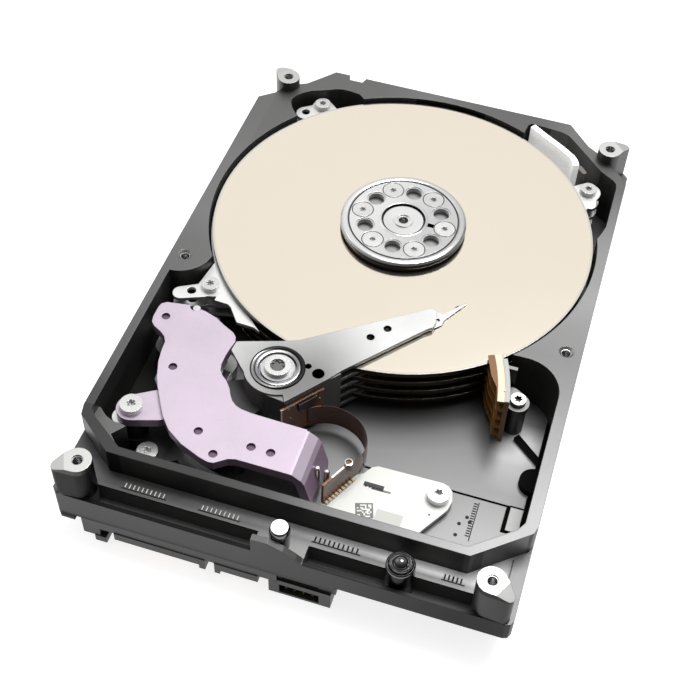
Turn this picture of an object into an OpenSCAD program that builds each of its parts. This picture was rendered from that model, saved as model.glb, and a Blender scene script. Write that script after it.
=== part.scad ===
// Open 3.5 inch hard disk drive: cast base, four-platter spindle, swing-arm actuator,
// voice-coil motor, load ramp, flex circuit and drive board.
// Millimetres. +Z up, connector end at -Y. Origin: centre of the footprint at the base's lowest face.

/* [Envelope] */
// Width across the side rails
drive_w = 101.6; // [101.4:0.1:101.8]
// Length from the connector end to the plain end
drive_l = 147; // [146.8:0.1:147.2]
// Height of the cover-screw posts above the lowest face
post_z = 26.1; // [25.9:0.1:26.3]
// Height of the sealing rim
rim_z = 23.2; // [23:0.1:23.4]
// Height of the ledge outside the rim
ledge_z = 16; // [15.8:0.1:16.2]
// Height of the floor inside the well
floor_z = 8.5; // [8.4:0.1:8.5]

/* [Spindle] */
// Distance of the spindle axis from the centre of the footprint
spindle_y = 22.6; // [22.5:0.1:22.7]
// Radius of a platter
platter_r = 47.5; // [47.3:0.1:47.5]
// Thickness of a platter
platter_t = 1.27; // [1.2:0.01:1.27]
// Distance from one platter to the next
pitch = 3.1; // [3.08:0.01:3.12]
// Height of the top platter's upper face
stack_z = 22.1; // [22.05:0.05:22.15]
// Radius of the clamp on top of the platters
clamp_r = 15.7; // [15.5:0.1:15.9]

/* [Actuator] */
// Pivot position across the drive
pivot_x = -14; // [-14.1:0.1:-13.9]
// Pivot position along the drive
pivot_y = -31.5; // [-31.6:0.1:-31.4]
// Thickness of one arm
arm_t = 1.0; // [0.9:0.05:1]

/* [Mounting] */
// Half the width between the cover-screw posts
post_x = 44.6; // [44.5:0.1:44.7]
// Cover-screw post position at the connector end
post_y0 = -70.2; // [-70.2:0.1:-70.1]
// Cover-screw post position at the plain end
post_y1 = 63.8; // [63.7:0.1:63.9]
// Radius of the side and bottom mounting holes
mount_r = 1.45; // [1.4:0.05:1.5]

/* [Hidden] */
W = drive_w/2;
L = drive_l/2;
C = [0, spindle_y];
P = [pivot_x, pivot_y];
well_r = 48.4;
well_ymax = spindle_y + well_r;
gap0 = stack_z - platter_t/2 + pitch/2;      // middle of the space above the top platter
function gap(i) = gap0 - i*pitch;            // middle of the i-th space
function plat(i) = stack_z - i*pitch;        // upper face of the i-th platter
yoke_top = 22.1;
yoke_t = 2.4;
ym = yoke_top - yoke_t;                      // lower face of the upper magnet plate
mag_t = 1.9;
low_top = 12.9;                              // upper face of the lower magnet plate
low_bot = 10.5;
coil_z0 = 15.3;
coil_z1 = 17.3;
ear = [-41.5, -50.5];
ear_z = 20.8;
damp_t = 0.9;
dL = [-38.5, -10.9];
dB = [-33.9, 61.4];
dR = [41.85, 52.1];
bk_z = 10.5;
bk_s = [28.1, -44.9];
ramp_s = [39.4, -19.3];
latch_p = [-38.6, -19.2];
$fn = 96;

function unit(v) = v/norm(v);
function turn(v, a) = [v[0]*cos(a) - v[1]*sin(a), v[0]*sin(a) + v[1]*cos(a)];
function pol(r, a) = [r*cos(a), r*sin(a)];

// Two circles joined by their outer tangents
module taper(a, ra, b, rb) {
  u = unit(b - a);
  t = acos((ra - rb)/norm(b - a));
  translate(a) circle(r = ra, $fn = 64);
  translate(b) circle(r = rb, $fn = 64);
  polygon([a + ra*turn(u, t), b + rb*turn(u, t), b + rb*turn(u, -t), a + ra*turn(u, -t)]);
}
// The same outline with its round ends drawn as short straight sides
module tab2(a, ra, b, rb, n = 10) {
  u = b - a;
  w = atan2(u[1], u[0]);
  t = acos((ra - rb)/norm(u));
  polygon(concat([for (k = [0:n]) a + pol(ra, w + t + (360 - 2*t)*k/n)],
                 [for (k = [0:n]) b + pol(rb, w - t + 2*t*k/n)]));
}
module slab(z0, z1) translate([0, 0, z0]) linear_extrude(z1 - z0) children();
module rod(p, r, z0, z1, f = 64) translate([p[0], p[1], z0]) cylinder(r = r, h = z1 - z0, $fn = f);
module tube(p, ro, ri, z0, z1, f = 96) difference() { rod(p, ro, z0, z1, f); rod(p, ri, z0 - 1, z1 + 1, f); }
module box(x0, x1, y0, y1, z0, z1) translate([x0, y0, z0]) cube([x1 - x0, y1 - y0, z1 - z0]);
module sector(p, ri, ro, a0, a1, z0, z1) translate([p[0], p[1], 0]) rotate(a0)
  rotate_extrude(angle = a1 - a0, $fn = 128) translate([ri, z0]) square([ro - ri, z1 - z0]);
module star(r) {
  circle(r = 0.66*r, $fn = 32);
  for (i = [0:5]) rotate(60*i) translate([0.7*r, 0]) circle(r = 0.27*r, $fn = 24);
}
// Screw: head with a six-lobe recess from z0 upward, shank down to zs
module screw(p, rh, z0, z1, rs, zs, rr = 1) {
  difference() {
    rod(p, rh, z0, z1);
    translate([p[0], p[1], z1 - 0.65*(z1 - z0)]) linear_extrude(3) star(rr);
  }
  rod(p, rs, zs, z0, 32);
}

/* ---- outlines ---- */
module rim_outline() polygon([
  [-W, -54.6], [-50.2, -57.2], [-41, -64.6], [39, -64.6], [50.2, -55.4], [W, -53.6],
  [W, 55], [49.4, 57.2], [43.4, 63.4], [38.8, 66.4], [36, 69.6], [32.6, L],
  [-25.2, L], [-25.8, 71.6], [-29.4, 71.6], [-29.9, L], [-34, L], [-36, 71],
  [-40, 66.2], [-45, 63.4], [-47, 59.6], [-W, 56.4]]);
module body_outline() polygon([
  [-W, -72.2], [-49.6, -L], [49.3, -L], [50.3, -73.1], [W, -72], [W, 65.8], [47.4, 69.6], [38.4, 69.8],
  [34.4, L], [-25.2, L], [-25.8, 71.6], [-29.4, 71.6], [-29.9, L], [-34.6, L], [-38, 70], [-46.6, 69.8], [-W, 66]]);
module well_outline() {
  translate(C) circle(r = well_r, $fn = 160);
  difference() {
    union() {
      polygon([[-48.7, -3], [-48.7, -54.8], [-46.9, -57], [-39, -62.6], [38, -62.6], [46.7, -55.6],
               [48, -53.4], [48, -19.2], [39, -19.2], [39, -10.2], [35, -10.3], [25, 0], [-35, 0], [-40.9, -3]]);
      translate([39, -19.2]) circle(r = 9);
    }
    translate([-49, -3]) circle(r = 8.3);
  }
  polygon([[-20, 60], [-23.4, 65.2], [-25, 66.5], [-27.5, 66.9], [-30, 67], [-32, 66.4], [-34, 65.3], [-38, 63.5],
           [-40.2, 61.6], [-41.4, 60], [-41.9, 58.4], [-41.6, 57], [-40.4, 54.8], [-38.2, 52.2], [-30, 50]]);
  polygon([[21.4, 60], [21.4, 66], [21.8, 69.4], [22.6, 70.4], [26, 70.2], [31, 69.7], [33, 68.9], [34.6, 67.4],
           [43.8, 57.8], [47.4, 55.4], [48.3, 54.4], [48.6, 52.6], [48.6, 38], [48, 35.4], [46.6, 31], [30, 40]]);
}
module pcb_outline() difference() {
  polygon([[-43, -66], [43, -66], [43, 2], [36, 9], [22, 9], [22, 14], [-22, 14], [-22, 9], [-36, 9], [-43, 2]]);
  translate(C) circle(r = 17.6);
}
module yoke_outline() {
  polygon([[-47, -22.2], [-46.7, -21], [-45.6, -20.2], [-40, -19.3], [-36, -20], [-33, -21], [-30.5, -22.5],
    [-27.6, -24], [-26.6, -25], [-26.2, -26.4], [-26.6, -29], [-26.8, -31], [-26.8, -33.5], [-26.4, -35.2],
    [-25.4, -36.6], [-24, -37.7], [-22.6, -39.5], [-21.7, -41.2], [-20.8, -42.5], [-19.6, -43.5], [-18, -44.1],
    [-15.6, -44.4], [-13, -44.5], [-2.4, -44.7], [-2.4, -57], [-14.6, -57], [-16.2, -57.5], [-17.5, -58.5],
    [-18.7, -59.4], [-20, -59.5], [-22, -59], [-27, -57], [-31, -54.4], [-33.6, -51.4], [-36, -47.6], [-37.2, -45.6],
    [-39.2, -41.5], [-40.6, -37.4], [-41.2, -34], [-41.4, -31.6], [-42.2, -30.2], [-43.4, -29.2], [-45.6, -28],
    [-46.6, -27], [-47, -25.4]]);
}
// Ribbon of constant thickness along a path of points
function side(pts, i) = let(
    k = len(pts) - 1,
    d = unit((i < k ? unit(pts[i + 1] - pts[i]) : [0, 0]) + (i > 0 ? unit(pts[i] - pts[i - 1]) : [0, 0])))
  [-d[1], d[0]];
module ribbon(pts, t) polygon(concat(
  [for (i = [0:len(pts) - 1]) pts[i] + side(pts, i)*t/2],
  [for (i = [len(pts) - 1:-1:0]) pts[i] - side(pts, i)*t/2]));

/* ---- cast base ---- */
module base_casting() color([0.25, 0.25, 0.26]) difference() {
  union() {
    difference() {
      union() {
        slab(0, ledge_z) body_outline();
        slab(0, rim_z) rim_outline();
      }
      slab(floor_z, rim_z + 1) well_outline();
    }
    // corner posts for the cover screws
    for (s = [-1, 1]) {
      slab(ledge_z - 4, post_z) taper([s*post_x, post_y0], 3.1, [s*48.5, -72.2], 1.3);
      slab(ledge_z - 4, post_z) taper([s*post_x, post_y1], 3.0, [s*48.2, 67.2], 1.2);
    }
    // raised block at the middle of the connector end
    translate([0, 1.5 - L, 0]) rotate([90, 0, 0]) linear_extrude(1.5)
      polygon([[-5.2, 15], [-5.2, 20.2], [-1.6, 20.4], [1.8, 19], [4.6, 17.2], [6, 16], [6, 15]]);
    // boss of the vent plug
    rod([25.9, -69.3], 3.1, 12, 20);
    // low bosses on the floor
    for (p = [dL, dB, dR]) rod(p, 2.6, floor_z - 0.5, gap(3) - damp_t/2);
    rod(bk_s, 3, floor_z - 0.5, bk_z - 1);
    rod([8, -57.5], 2.6, floor_z - 0.5, bk_z - 1);
    for (p = [[-44.2, -24.4], ear, [-36, -56.2], [0.2, -55]]) rod(p, 2.6, floor_z - 0.5, low_bot);
    rod(P, 6.2, floor_z - 0.5, 9.2);
    // rib from the ramp to the side wall
    translate([0, 0, floor_z - 0.5]) linear_extrude(1.7) polygon([[41.3, -21.7], [48.4, -27.8], [48.4, -29.6], [40.5, -23.0]]);
  }
  // channel behind the front lip
  difference() {
    union() {
      box(-48, -5.2, -72.6, -68.7, 11, ledge_z + 1);
      box(6, 44.6, -72.6, -68.7, 11, ledge_z + 1);
    }
    rod([25.9, -69.3], 3.1, 0, 30);
    slab(0, 30) taper([-post_x, post_y0], 3.1, [-48.5, -72.2], 1.3);
    slab(0, 30) taper([post_x, post_y0], 3.1, [48.5, -72.2], 1.3);
  }
  // everything below the front lip
  box(-46.4, 13.6, -L - 1, -64.8, -1, 8.5);
  box(13, W + 1, -L - 1, -64.8, -1, 10.3);
  box(-W - 1, -46, -L - 1, -64.8, -1, 6.7);
  // recess for the drive board
  box(-43.8, 43.8, -65.5, 15, -1, 5.2);
  rod(C, 20, -1, 5.2);
  // lightening pockets in the underside
  box(-4, 24, -50, -16, 5.1, 6.8);
  box(-12, 12, -14, 0.5, 5.1, 6.8);
  difference() {
    union() {
      box(-39, 39, 17, 66, -1, 5.2);
      box(-28, 28, 26, 65, 5.1, 6.8);
    }
    rod(C, 24, -2, 8);
    for (x = [-14, 14]) box(x - 1, x + 1, 40, 67, -2, 8);
  }
  // motor opening, pivot screw, header slot
  rod(C, 13.02, 0, floor_z + 1);
  rod(P, 1.25, 0, 12);
  box(10.4, 25.6, -58.6, -53.4, 0, floor_z + 1);
  // seam grooves in the floor
  box(10, 43.9, -41.2, -40.7, floor_z - 0.5, floor_z + 0.5);
  box(43.8, 47.9, -40.9, -40.5, floor_z - 0.5, floor_z + 0.5);
  box(43.1, 44.0, -47.9, -41, floor_z - 0.5, floor_z + 0.5);
  box(43.1, 45.3, -47.9, -47.1, floor_z - 0.5, floor_z + 0.5);
  box(46.9, 47.8, -45.2, -37.4, floor_z - 0.5, floor_z + 0.5);
  // panel line on the ledge
  box(47.4, 47.65, -66, -58.4, ledge_z - 0.3, ledge_z + 1);
  // the tails of the posts fall away from the screw's seat
  for (s = [-1, 1], e = [-1, 1])
    translate([s*post_x, e < 0 ? post_y0 : post_y1, post_z]) rotate(e < 0 ? (s < 0 ? 207 : -27) : (s < 0 ? 137 : 43))
      translate([2.75, -6, 0]) rotate([0, 22, 0]) cube([9, 12, 4]);
  // screw holes
  for (s = [-1, 1]) {
    for (y = [post_y0, post_y1]) rod([s*post_x, y], 1.25, post_z - 8.5, post_z + 1, 32);
    rod([s*47.1, -5.4], 1.25, rim_z - 7, rim_z + 1, 32);
    translate([s*47.1, -5.4, rim_z - 0.45]) cylinder(r1 = 1.25, r2 = 1.8, h = 0.5, $fn = 32);
    for (y = [-45, -3.4, 56.6]) translate([s*W, y, 6.35]) rotate([0, -s*90, 0]) translate([0, 0, -1]) cylinder(r = mount_r, h = 6, $fn = 32);
    for (y = [-32.2, 12.2, 44]) rod([s*47.625, y], mount_r, -1, 5, 32);
  }
  for (p = [dL, dB, dR]) rod(p, 0.85, 6, 30, 24);
  for (p = [bk_s, ear, [-36, -56.2], ramp_s]) rod(p, 0.95, 6, 12, 24);
  for (p = [[-40, -60.5], [40, -60.5], [-40, -2], [40, -2], [-18.6, 11], [18.6, 11]]) rod(p, 0.95, 4, 7.4, 24);
  for (a = [30, 150, 270]) rod(C + pol(14.6, a), 0.85, 4, 7.6, 24);
  // stud socket
  rod([0, -69.8], 1.87, 10.5, 30);
}
module locating_stud() color([0.9, 0.9, 0.9]) rod([0, -69.8], 1.85, 10.5, 22.1);
module vent_plug() color([0.06, 0.06, 0.06]) {
  rod([25.9, -69.3], 2.4, 20, 21);
  difference() {
    translate([25.9, -69.3, 20.4]) sphere(r = 1.9, $fn = 64);
    box(20, 30, -75, -65, 10, 20.9);
  }
}
module breather_filter() color([0.08, 0.08, 0.08]) intersection() {
  rod([47.4, -33.6], 3.3, floor_z, floor_z + 1.6);
  box(40, 47.95, -40, -28, 0, 30);
}

/* ---- spindle motor ---- */
module spindle_shaft() color([0.85, 0.85, 0.86]) difference() {
  union() {
    rod(C, 2.5, 3.6, 23.2);
    rod(C, 5.0, 23.0, 24.0);
    tube(C, 2.5, 1.7, 23.9, 24.3);
  }
  rod(C, 1.2, 18, 25, 48);
}
module motor_bracket() color([0.6, 0.6, 0.62]) {
  difference() {
    union() {
      rod(C, 17.2, 3.6, 5.2);
      rod(C, 13.0, 5.2, 6.3);
      rod(C, 4.5, 6.3, 11.4);
    }
    rod(C, 2.52, 3, 12);
    for (a = [30, 150, 270]) rod(C + pol(14.6, a), 1.05, 3, 6, 24);
  }
}
module motor_screws() color([0.75, 0.75, 0.77])
  for (a = [30, 150, 270]) translate([0, 0, 6.4]) mirror([0, 0, 1]) screw(C + pol(14.6, a), 1.7, 2.8, 3.8, 0.8, -0.8, 0.8);
// Straight-sided ring with nine T-shaped teeth
module stator_core() color([0.45, 0.45, 0.48]) difference() {
  slab(7.6, 10.4) translate(C) polygon([for (i = [0:8], q = [[5.5, -0.7], [8.4, -0.7], [8.4, -2.1], [9.2, -2.1],
    [9.2, 2.1], [8.4, 2.1], [8.4, 0.7], [5.5, 0.7]]) turn(q, 40*i)]);
  rod(C, 4.55, 7, 11);
}
module stator_coils() color([0.72, 0.4, 0.2])
  for (i = [0:8]) translate([C[0], C[1], 6.9]) rotate(40*i) difference() {
    translate([6.0, -1.35, 0]) cube([2.3, 2.7, 4.2]);
    translate([5, -0.75, 0.65]) cube([4, 1.5, 2.9]);
  }
module spindle_hub() color([0.78, 0.78, 0.8]) difference() {
  union() {
    rod(C, 12.45, 11.5, stack_z - 0.1);
    rod(C, 15.3, 10.2, plat(3) - platter_t);
    rod(C, 12.4, 6.8, 10.3);
  }
  rod(C, 11.0, 6, 12.2);
  rod(C, 2.55, 6, 30);
  rod(C, 5.5, 22.2, 30);
  for (i = [0:5]) rod(C + pol(10.6, 60*i), 0.95, 16, 30, 24);
}
module rotor_magnet() color([0.3, 0.3, 0.32]) tube(C, 10.98, 9.7, 7.2, 11.6);
module platter(i) color([0.93, 0.9, 0.84]) tube(C, platter_r, 12.5, plat(i) - platter_t, plat(i), 160);
module platter_1() platter(0);
module platter_2() platter(1);
module platter_3() platter(2);
module platter_4() platter(3);
module disk_spacers() color([0.8, 0.8, 0.82]) for (i = [0:2]) tube(C, 15.3, 12.5, plat(i + 1), plat(i) - platter_t);
module disk_clamp() color([0.86, 0.86, 0.87]) difference() {
  union() {
    rod(C, clamp_r - 0.5, stack_z, stack_z + 2.3);
    rod(C, clamp_r, stack_z + 0.9, stack_z + 1.9);
    translate([C[0], C[1], stack_z + 1.9]) cylinder(r1 = clamp_r, r2 = clamp_r - 0.4, h = 0.4, $fn = 96);
  }
  rod(C, 5.5, 20, 30);
  tube(C, 13.9, 13.5, stack_z + 2.05, 30);
  for (i = [0:5]) {
    rod(C + pol(10.6, 60*i), 2.75, stack_z + 1.3, 30);
    rod(C + pol(10.6, 60*i), 1.1, 20, 30, 32);
    rod(C + pol(9.8, 60*i + 30), 2.35, stack_z + 0.3, 30);
  }
  translate([C[0] + 6.2, C[1] - 0.65, stack_z + 1.4]) cube([1.6, 1.3, 3]);
  translate([C[0], C[1], stack_z + 1.9]) rotate(124) translate([14.3, -0.18, 0]) cube([2, 0.36, 2]);
}
module clamp_screws() color([0.9, 0.9, 0.9]) for (i = [0:5])
  screw(C + pol(10.6, 60*i), 2.55, stack_z + 1.3, stack_z + 2.3, 0.9, 17, 0.85);

/* ---- actuator ---- */
module arm_outline() difference() {
  union() {
    translate(P) circle(r = 7.7);
    polygon([[-25.5, -27.5], [-25.2, -27.2], [-15.6, -23.8], [-12, -22.3], [13.6, -3.4], [14.6, -2.9], [15.6, -3.4],
             [16.4, -6.8], [16, -8.6], [14.9, -9.5], [0.1, -27.4], [-2.6, -31.4], [-9.4, -40.2], [-10.4, -38.4], [-17.2, -38.5],
             [-21.5, -34.4], [-25.7, -30]]);
  }
}
module low_arm_outline() {
  translate(P) circle(r = 7.7);
  polygon([[-19.4, -26.1], [-15.6, -23.9], [-12, -22.3], [13.6, -3.4], [14.6, -2.9], [15.6, -3.4], [16.4, -6.8], [16, -8.6],
           [14.9, -9.5], [0.1, -27.4], [-2.9, -31.7], [-9.2, -39.9], [-10.4, -38.3]]);
}
module actuator_arms() color([0.82, 0.82, 0.83]) difference() {
  union() {
    slab(gap(0) - arm_t/2, gap(0) + arm_t/2) arm_outline();
    for (i = [1:4]) slab(gap(i) - arm_t/2, gap(i) + arm_t/2) low_arm_outline();
    slab(gap(4) - arm_t/2, gap(0)) {
      translate(P) circle(r = 7.7);
      polygon([[-14, -39.3], [-9.2, -39.9], [-2.9, -31.7], [0, -28.2], [-3, -27.4], [-8.2, -26], [-14, -24]]);
    }
  }
  rod(P, 6.2, 5, 30);
  rod([-4.8, -30.2], 1.4, gap(0) - 2.4, 30, 48);
  rod([-7.6, -28.9], 0.75, gap(0) - 2.4, 30, 32);
  for (p = [[3.2, -16.1], [6.2, -12.4]]) rod(p, 0.95, 5, 30, 32);
}
module pivot_bearing() color([0.88, 0.88, 0.88]) difference() {
  rod(P, 6.15, 9.7, 23.6);
  rod(P, 3.25, 5, 30);
  tube(P, 5.6, 5.15, 23.1, 30);
  rod(P, 4.4, 22.7, 30);
}
module pivot_shaft() color([0.7, 0.7, 0.72]) difference() {
  union() {
    rod(P, 3.2, 9.2, 22.4);
    rod(P, 3.9, 22.95, 23.5);
    rod(P, 3.2, 22.3, 23);
  }
  rod(P, 1.25, 5, 30, 32);
}
module pivot_screw() color([0.9, 0.9, 0.9]) difference() {
  screw(P, 3.0, 23.5, 24.5, 1.15, 6.5, 1.7);
  rod(P, 1.75, 24.15, 30); // round counterbore over the socket
}
module coil_shape(r0, r1, a, c) translate(P) rotate(223) {
  polygon([pol(r0, -a - 2), pol(r1, -a), pol(r1*1.012, -a*0.5), pol(r1*1.016, 0), pol(r1*1.012, a*0.5), pol(r1, a), pol(r0, a + 2), pol(r0 - 0.4, 0)]);
}
module voice_coil() color([0.75, 0.42, 0.2]) difference() {
  slab(coil_z0, coil_z1) coil_shape(12.6, 25.2, 20.5, 0);
  slab(coil_z0 - 1, coil_z1 + 1) coil_shape(15.6, 22.4, 11, 0);
}
module coil_frame() color([0.2, 0.2, 0.2]) difference() {
  slab(coil_z0 + 0.2, coil_z1 - 0.2) union() {
    coil_shape(11.0, 26.2, 24, 0);
    translate(P) rotate(223) polygon([[6, -4.6], [12, -6.5], [12, 6.5], [6, 4.6]]);
  }
  slab(coil_z0 - 1, coil_z1 + 1) coil_shape(12.6, 25.2, 20.5, 0);
  rod(P, 7.7, 5, 30);
}
module suspension(z0, z1) slab(z0, z1) {
  polygon([[12.0, -4.4], [14.4, -2.6], [17.4, -2.8], [20.9, 1.7], [21.45, 2.2], [21.75, 1.85], [21.3, 1.3], [17.9, -4.6], [17.7, -6.4], [14.9, -9.2], [13.4, -8.6]]);
}
module head_suspensions() color([0.92, 0.92, 0.92]) difference() {
  union() for (i = [0:4]) {
    if (i > 0) suspension(gap(i) + arm_t/2, gap(i) + arm_t/2 + 0.1);
    if (i < 4) suspension(gap(i) - arm_t/2 - 0.1, gap(i) - arm_t/2);
  }
  for (p = [[14.1, -5.9], [16.4, -5.2]]) rod(p, 0.5, 5, 30, 24);
}
module slider_heads() color([0.2, 0.2, 0.22]) for (i = [0:4]) {
  if (i > 0) translate([19.9, 0.3, gap(i) + arm_t/2 + 0.1]) rotate(50) translate([-0.5, -0.4, 0]) cube([1.0, 0.8, 0.2]);
  if (i < 4) translate([19.9, 0.3, gap(i) - arm_t/2 - 0.3]) rotate(50) translate([-0.5, -0.4, 0]) cube([1.0, 0.8, 0.2]);
}
module side_plate(t0, t1, z0, z1, s0, s1) {
  a = [-9.2, -39.9];
  u = unit([-2.9, -31.7] - a);
  n = [u[1], -u[0]];
  slab(z0, z1) polygon([a + s0*u + t0*n, a + s1*u + t0*n, a + s1*u + t1*n, a + s0*u + t1*n]);
}
module arm_flex() color([0.3, 0.16, 0.07]) side_plate(0.05, 0.42, 11.2, 21.6, -1.6, 10);
module preamp_chip() color([0.1, 0.1, 0.1]) side_plate(0.42, 1.0, 18.4, 20.8, 3, 7.4);

/* ---- voice-coil magnets and plates ---- */
module top_yoke() color([0.86, 0.8, 0.88]) difference() {
  union() {
    slab(ym, yoke_top) yoke_outline();
    // turned-down right flange
    translate([0, -45.0, 0]) rotate([90, 0, 0]) linear_extrude(12)
      polygon([[-2.5, ym], [-2.5, yoke_top], [-1.9, yoke_top - 0.05], [0.2, 20.6], [1.0, 19.3], [2.6, low_top], [0.4, low_top], [-1.1, 18.6], [-1.9, ym]]);
    // lowered screw ear
    difference() {
      slab(ear_z - yoke_t, ear_z) taper(ear, 3.5, [-36.2, -48.0], 4.2);
      rod(P, 26.35, 10, ym);
    }
  }
  // clearance over the ear
  slab(ear_z, 30) difference() {
    translate(ear) circle(r = 7);
    polygon([[-39.3, -40], [-37.2, -45.4], [-33.8, -51.2], [-31, -54.4], [-20, -60], [-10, -60], [-10, -30], [-39, -30]]);
  }
  // notch for the latch pin
  rod(latch_p, 1.5, 15, 30, 32);
  for (p = [[-44.2, -24.4], [-36.9, -37.8], [-24.8, -52.6], [-12.5, -52.9], [-8.0, -53.0], [-19.6, -57.2]]) rod(p, 1.0, yoke_top - 0.7, 30, 32);
  rod(ear, 1.5, 10, 30, 32);
}
module bottom_yoke() color([0.7, 0.7, 0.72]) difference() {
  union() {
    slab(low_bot, low_top) yoke_outline();
    box(-3, 2.6, -57, -45, low_bot, low_top);
    slab(low_bot, low_top) polygon([[-45, -28], [-43.4, -31], [-43, -36], [-40, -40], [-38, -36], [-38, -28]]);
    slab(low_bot, low_top) taper(ear, 3.5, [-36.2, -48.0], 4.2);
    slab(low_bot, low_top) taper([-36, -56.2], 3.1, [-31, -52.6], 3.4);
  }
  rod(ear, 1.5, 5, 30, 32);
  rod([-36, -56.2], 1.5, 5, 30, 32);
  rod(latch_p, 1.8, 5, 30, 32);
}
module top_magnet() color([0.8, 0.8, 0.82]) sector(P, 13.2, 26.2, 172, 261, ym - mag_t, ym);
module bottom_magnet() color([0.8, 0.8, 0.82]) sector(P, 12.2, 26.2, 172, 261, low_top, low_top + mag_t);
module yoke_standoffs() color([0.85, 0.85, 0.86]) {
  rod([-44.2, -24.4], 1.5, low_top, ym);
  tube(ear, 3.0, 1.5, low_top, ear_z - yoke_t);
}
module yoke_screws() color([0.9, 0.9, 0.9]) {
  screw(ear, 2.55, ear_z, ear_z + 1.6, 0.9, 7, 1.1);
  screw([-36, -56.2], 2.4, low_top, low_top + 1.6, 0.9, 7, 1.0);
}
module crash_stops() color([0.12, 0.12, 0.12]) {
  rod(P + pol(22, 265.8), 1.5, low_top, ym);
  rod(P + pol(24, 159.6), 1.3, low_top, ym);
}
module latch_pin() color([0.85, 0.85, 0.86]) rod(latch_p, 0.9, floor_z, 21.4, 32);
module latch_lever() color([0.15, 0.15, 0.16]) difference() {
  union() {
    rod(latch_p, 1.9, 15.4, 17.0);
    slab(15.4, 17.0) taper(latch_p + [-0.9, 0.2], 0.8, [-44.6, -21.2], 0.7);
    slab(15.4, 17.0) taper(latch_p + [0.6, 0.6], 0.9, [-34.6, -17.6], 0.9);
  }
  rod(latch_p, 0.95, 5, 30, 32);
}

/* ---- damper plates, ramp, filter ---- */
module damper(i) difference() {
  union() {
    sector(C, 33, 47.9, 30, 226, gap(i) - damp_t/2, gap(i) + damp_t/2);
    slab(gap(i) - damp_t/2, gap(i) + damp_t/2) {
      tab2(dL, 3.0, [-39.9, -3.6], 0.6);
      tab2(dL, 3.05, [-33.4, -8.4], 4.2);
      tab2([-44.6, -14.9], 1.9, [-39.6, -12.4], 2.2);
      tab2(dB, 2.9, [-30, 56], 4.4);
      tab2([-37.6, 57.4], 2.5, [-33.2, 60.6], 2.45);
      tab2(dR, 3.3, [36, 44], 5.6);
      tab2([43.2, 47.6], 1.6, [41.4, 51], 2.9);
      if (i == 1) polygon([[-36, -12.6], [-36, -14.6], [-32.6, -14.8], [-31.6, -15.4], [-28.6, -19.4], [-24.2, -19.6], [-22.6, -20.4], [-26, -17.2], [-31.6, -12.4]]);
    }
  }
  for (p = [dL, dB, dR]) rod(p, 1.0, 5, 30, 24);
  rod([-42.3, -13.5], 1.1, 5, 30, 32);
  rod([-37.6, 57.8], 1.1, 5, 30, 32);
}
module damper_plates() color([0.86, 0.86, 0.86]) for (i = [1:3]) damper(i);
module damper_spacers() color([0.7, 0.7, 0.7]) for (p = [dL, dB, dR], i = [1:2])
  tube(p, 2.2, 1.0, gap(i + 1) + damp_t/2, gap(i) - damp_t/2, 48);
module damper_screws() color([0.9, 0.9, 0.9]) for (p = [dL, dB, dR])
  screw(p, 2.1, gap(1) + damp_t/2, gap(1) + damp_t/2 + 1.3, 0.8, 7, 0.95);
// One finger: as wide as the lift tab needs at its far end, narrower at its near end
module ramp_finger(a1, z0, z1) slab(z0, z1) polygon(concat(
  [for (a = [8:2:20]) P + pol(51.6, a)],
  [P + pol(51.6, a1), P + pol(48.2, a1), P + pol(48.2, 16.5), P + pol(49.4, 12.5), P + pol(49.6, 8)]));
module load_ramp() color([0.62, 0.42, 0.2]) difference() {
  union() {
    sector(P, 51.3, 52.4, 8, 21.8, floor_z, 23.5);
    for (i = [0:4]) ramp_finger((i == 0 || i == 4) ? 23.4 : 24.2, gap(i) - 0.3, gap(i) + 0.3);
    for (i = [0:3]) sector(P, 50.2, 51.6, 9.4, 19.6, gap(i + 1) - 0.4, gap(i));
    box(35.0, 37.6, -14.8, -13.9, 14, 23.5);
    box(36.0, 37.4, -21.5, -20.6, 14, 23.5);
    slab(16.6, 18) taper(ramp_s, 2.7, [37.4, -18], 2.6);
    rod(ramp_s, 2.3, floor_z, 16.7);
  }
  rod(ramp_s, 1.05, 5, 30, 32);
  translate(C) cylinder(r = 47.9, h = gap(4) - 0.9, $fn = 160);
}
module ramp_screw() color([0.9, 0.9, 0.9]) screw(ramp_s, 1.8, 18, 19.4, 0.9, 7, 1.0);
module recirc_filter() color([0.93, 0.93, 0.92]) slab(10, 24.6)
  ribbon([[23.2, 68.0], [27, 65.3], [32.2, 61.9], [35.6, 59.3], [36.6, 57.9], [37.2, 56.3]], 1.6);
module filter_holder() color([0.5, 0.5, 0.5]) difference() {
  union() {
    slab(floor_z, 23) taper([38.2, 57.7], 0.7, [39.6, 56.2], 0.6);
    slab(floor_z, 12) ribbon([[22.6, 68.6], [27, 65.3], [32.2, 61.9], [35.6, 59.3], [38.2, 57.4]], 2.8);
  }
  slab(9.9, 30) ribbon([[22, 68.85], [27, 65.3], [32.2, 61.9], [35.6, 59.3], [36.6, 57.9], [37.2, 56.3], [37.9, 53.5]], 1.64);
}

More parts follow.
